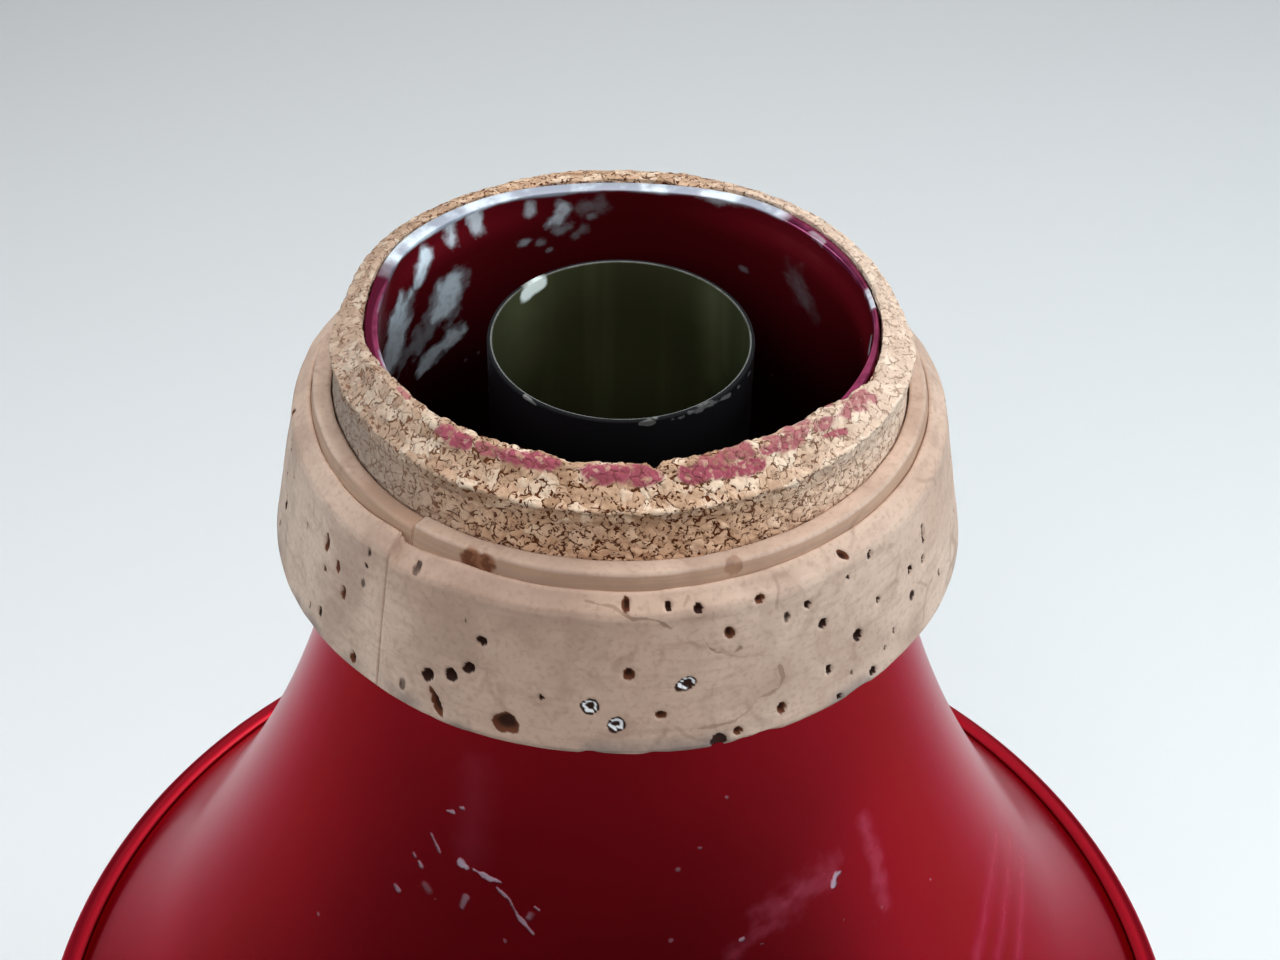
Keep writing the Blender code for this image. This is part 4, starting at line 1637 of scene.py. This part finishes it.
    def bite(self, places: np.ndarray) -> np.ndarray:
        """Share of each point in the round notch at the strip's foot."""
        across = np.radians(turn_of(places) - self.notch) * reach_of(places)
        above = places[:, 2] - self.foot - self.notch_rise
        return smooth(-np.hypot(across / self.notch_width, above / self.notch_height), -1.12, -0.88)

    def open_pores(self, obj: Piece, skin: float) -> None:
        """Sink the pores into the strip and note in an attribute what they hold, with the foot's notch noted
        as a dark pore: painted shade.

        Args:
            obj: Strip.
            skin: Radius of the strip's outside, to tell it from the inside.
        """
        places, normals = points_of(obj)
        turns = np.radians(turn_of(places))
        outside = smooth((places[:, :2] * normals[:, :2]).sum(axis=1) / reach_of(places), 0.1, 0.3)
        ragged = rough(places, 1900.0, 2)
        masks = np.zeros((len(places), 4), np.float32)
        sunk = np.zeros(len(places))
        for angle, height, pore in self.all_pores(obj):
            across = (turns - angle + math.pi) % math.tau - math.pi
            x = across * skin / MM
            y = (places[:, 2] - height) / MM
            lean = math.radians(pore.lean)
            u = (x * math.cos(lean) - y * math.sin(lean)) / (pore.wide / 2)
            v = (x * math.sin(lean) + y * math.cos(lean)) / (pore.tall / 2)
            edge = np.hypot(u, v) * (1.0 + 0.22 * ragged)
            inside = smooth(-edge, -1.15, -0.80) * outside
            deep = smooth(-edge, -1.05, -0.35) * outside
            depth = PORE_DEPTHS_MM[pore.filling] * min(1.0, pore.wide / FULL_DEPTH_WIDTH_MM)
            sunk = np.maximum(sunk, deep * depth * MM)
            self.note(masks, pore.filling, edge, inside, ragged)
        # The notch at the foot is painted dark in the dark-pore channel: painted shade in the crevice.
        masks[:, 0] = np.maximum(masks[:, 0], self.bite(places))
        set_points(obj, places - normals * sunk[:, None])
        layer = obj.data.attributes.new(PORES, "FLOAT_COLOR", "POINT")
        masks[:, 3] = 1.0
        layer.data.foreach_set("color", masks.ravel())

    def note(
        self, masks: np.ndarray, filling: Filling, edge: np.ndarray, inside: np.ndarray, ragged: np.ndarray
    ) -> None:
        """Add one pore to the masks of dark, brown and chalk."""
        if filling is Filling.DARK:
            masks[:, 0] = np.maximum(masks[:, 0], inside * 0.95)
        elif filling is Filling.BROWN:
            masks[:, 1] = np.maximum(masks[:, 1], inside * 0.95)
            masks[:, 0] = np.maximum(masks[:, 0], inside * smooth(-edge, -0.95, -0.45) * 0.6)
        elif filling is Filling.GREY:
            masks[:, 0] = np.maximum(masks[:, 0], inside * (0.55 + 0.25 * ragged))
        else:
            masks[:, 0] = np.maximum(masks[:, 0], inside * 0.9)
            ring = smooth(-edge, -0.80, -0.64) * smooth(edge, 0.34, 0.50) * smooth(ragged, -0.55, -0.15)
            masks[:, 2] = np.maximum(masks[:, 2], ring)

    def all_pores(self, obj: Piece) -> Iterable[tuple[float, float, Pore]]:
        """Angle, height and pore of every pore: those seen, and others of their kind round the back."""
        for pore in self.pores:
            spot = PHOTO.cast(obj, pore.at)
            if spot:
                yield math.atan2(spot.x, -spot.y), spot.z, pore
        draw = random.Random(self.seed)
        for _ in range(self.hidden_pores):
            angle = math.radians(draw.uniform(74.0, 286.0))
            height = draw.uniform(self.foot + 0.8 * MM, self.outer_top - 0.9 * MM)
            wide = draw.uniform(0.24, 0.7)
            tall = wide * draw.uniform(0.9, 2.1)
            filling = draw.choice(HIDDEN_FILLINGS)
            yield angle, height, Pore((0, 0), wide, tall, filling, draw.uniform(-30.0, 30.0))


@dataclass
class Stem:
    """The sliding tube and its flared cup."""

    radius: float = 8.15 * MM
    tube_wall: float = 0.32 * MM
    socket: float = 8.0 * MM
    socket_gap: float = 0.1 * MM
    cup_sheet: float = 0.7 * MM
    cup_flare: float = 20.6 * MM
    steps: int = 192
    curve_points: int = 28
    edge: float = 0.10 * MM
    uneven_cut: float = 0.35 * MM
    taper: float = 0.25 * MM
    line_inset: float = 0.07 * MM
    worn: tuple[Mark, ...] = (
        Mark((640, 424), (702, 410), 0.26, 0.65, 0.42),
        Mark((690, 413), (730, 394), 0.30, 0.65, 0.45),
        Mark((722, 399), (750, 372), 0.28, 0.65, 0.40),
        Mark((525, 396), (535, 404), 0.36, 0.35, 0.7),
    )
    flecks: tuple[Mark, ...] = (Mark((526, 294), (539, 284), 1.25, 0.12),)
    # Paler upright streaks inside the tube: painted reflections.
    streaks: tuple[Mark, ...] = (
        Mark((520, 312), (524, 360), 3.2, 0.15, 0.42, 0.9),
        Mark((712, 296), (713, 376), 1.6, 0.12, 0.55, 0.8),
        Mark((724, 302), (724, 366), 1.0, 0.1, 0.35, 0.7),
    )

    def build(self, effects: Effects) -> None:
        """Turn and dress the tube and the cup."""
        finish = BlackLacquer()
        tube = self.tube()
        skin = self.radius - self.taper - self.tube_wall + self.line_inset
        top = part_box("stem_tube")[1].z
        marks = (self.worn, self.flecks, self.streaks)
        lacquer = finish.make(effects, tube, skin, top, True, self.uneven_cut, *marks)
        hand_over(tube, lacquer, "stem_tube", Body.STEM, Slot.BLACK)
        cup = self.cup()
        hand_over(cup, finish.make(effects, cup, 0.0, 0.0, False), "stem_cup", Body.STEM, Slot.BLACK)

    def tube(self) -> Piece:
        """Straight tube, its ends eased and its top cut a little out of square."""
        low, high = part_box("stem_tube")
        line = divide([(self.radius - self.taper, high.z), (self.radius, low.z)], 4.0 * MM)
        obj = turn("tube", wall(line, self.tube_wall), self.steps)
        ease_edges(obj, self.edge)
        places, _ = points_of(obj)
        leaning = np.clip(0.5 - places[:, 1] / (2 * self.radius), 0.0, 1.0)
        places[:, 2] -= leaning * smooth(places[:, 2], high.z - 5 * MM, high.z) * self.uneven_cut
        set_points(obj, places)
        note_inside(obj)
        return obj

    def cup(self) -> Piece:
        """Flared cup on a socket, its rim a flat ring."""
        low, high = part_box("stem_cup")
        socket_radius = self.radius + self.socket_gap + self.cup_sheet
        socket_foot = high.z - self.socket
        flare_drop = socket_foot - low.z - self.cup_sheet
        line = divide([(socket_radius, high.z), (socket_radius, socket_foot)], 2.0 * MM)
        for i in range(1, self.curve_points + 1):
            angle = math.pi / 2 * i / self.curve_points
            radius = socket_radius + (self.cup_flare - socket_radius) * (1.0 - math.cos(angle))
            line.append((radius, socket_foot - flare_drop * math.sin(angle)))
        line.append((high.x, low.z + self.cup_sheet))
        obj = turn("cup", wall(line, self.cup_sheet), self.steps)
        ease_edges(obj, self.edge)
        return obj


@dataclass
class Collar:
    """The bush in the base and the cork that grips the stem."""

    bore: float = 8.45 * MM
    lining: float = 0.8 * MM
    glue: float = 0.1 * MM
    bush_wall: float = 0.8 * MM
    flange: float = 1.0 * MM
    steps: int = 160
    edge: float = 0.15 * MM

    def build(self, effects: Effects) -> None:
        """Turn and dress the bush and its lining."""
        bush = self.bush()
        hand_over(bush, TurnedMetal().make(effects, bush), "stem_collar", Body.MUTE, Slot.METAL)
        lining = self.lining_tube()
        hand_over(lining, SheetCork().make(effects, lining), "collar_lining", Body.MUTE, Slot.SHEET)

    def bush(self) -> Piece:
        """Flanged bush with a groove round its flange."""
        low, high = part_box("stem_collar")
        seat = low.z + self.flange
        bush_bore = self.bore + self.lining + self.glue
        skin = bush_bore + self.bush_wall
        groove = (skin + high.x) / 2
        line = [(skin, high.z), (skin, seat), (high.x, seat), (high.x, low.z)]
        line += [(groove + 0.3 * MM, low.z), (groove, low.z + 0.25 * MM), (groove - 0.3 * MM, low.z)]
        line += [(self.bore, low.z), (self.bore, seat), (bush_bore, seat), (bush_bore, high.z), line[0]]
        obj = turn("bush", line, self.steps)
        ease_edges(obj, self.edge)
        return obj

    def lining_tube(self) -> Piece:
        """Thin cork tube, slightly uneven."""
        low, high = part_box("collar_lining")
        outline = wall(divide([(high.x, high.z), (high.x, low.z)], 0.5 * MM), self.lining)
        obj = turn("lining", outline, self.steps)
        places, normals = points_of(obj)
        set_points(obj, places - normals * (np.abs(rough(places, 300.0)) * 0.06 * MM)[:, None])
        return obj


@dataclass(frozen=True)
class Lamp:
    """A square soft lamp that faces the mute's neck, its beam's spread in degrees."""

    name: str
    at: tuple[float, float, float]
    size: float
    power: float
    spread: float = 180.0
    colour: Colour = (1.0, 1.0, 1.0)
    aim: float = 0.8

    def hang(self) -> None:
        """Put the lamp in the scene."""
        data = bpy.data.lights.new(self.name, "AREA")
        data.size = self.size
        data.energy = self.power
        data.color = self.colour
        data.spread = math.radians(self.spread)
        lamp = bpy.data.objects.new(self.name, data)
        bpy.context.scene.collection.objects.link(lamp)
        neck = Vector((0.0, 0.0, CAD_BOX[1].z * self.aim))
        lamp.location = self.at
        lamp.rotation_euler = (neck - Vector(self.at)).to_track_quat("-Z", "Y").to_euler()


COOL: Colour = (0.76, 0.92, 1.0)


@dataclass
class Studio:
    """Pale floor and soft light."""

    floor_size: float = 6.0
    floor_colour: Colour = (0.80, 0.80, 0.80)
    sky_colour: Colour = (0.96, 0.98, 1.0)
    sky_strength: float = 0.11
    lamps: tuple[Lamp, ...] = (
        Lamp("key", (0.12, 0.0, 0.60), 0.36, 0.66, 100.0),
        Lamp("right_box", (0.50, 0.0, 0.28), 0.30, 1.9, 180.0, COOL),
        Lamp("back_panel", (0.0, 0.80, 0.45), 0.90, 1.7),
        Lamp("left_box", (-0.50, 0.05, 0.30), 0.30, 0.40, 90.0, COOL),
        Lamp("front_fill", (-0.08, -0.42, 0.50), 0.25, 0.12, 60.0),
    )

    def build(self) -> None:
        """Lay the floor and hang the lamps."""
        self.lay_floor()
        self.sky()
        for lamp in self.lamps:
            lamp.hang()

    def lay_floor(self) -> None:
        """Plain pale floor under the cup."""
        deselect()
        bpy.ops.mesh.primitive_plane_add(size=self.floor_size, location=(0.0, 0.0, CAD_BOX[0].z))
        floor = bpy.context.object
        floor.name = "floor"
        material, _, _ = new_material("floor", Base_Color=self.floor_colour, Roughness=0.7)
        dress(floor, material)

    def sky(self) -> None:
        """Even pale light from all round."""
        world = bpy.data.worlds.new("studio")
        bpy.context.scene.world = world
        world.use_nodes = True
        background = world.node_tree.nodes["Background"]
        background.inputs["Color"].default_value = (*self.sky_colour, 1.0)
        background.inputs["Strength"].default_value = self.sky_strength


def main() -> None:
    """Build the mute, dress it and set the stage."""
    logging.basicConfig(level=logging.INFO, format="%(name)s: %(message)s")
    bpy.context.scene.view_settings.view_transform = "Standard"
    PHOTO.add()
    effects = Effects()
    for assembly in (Shells(), NeckCork(), Stem(), Collar()):
        assembly.build(effects)
    Studio().build()


if __name__ == "__main__":
    main()
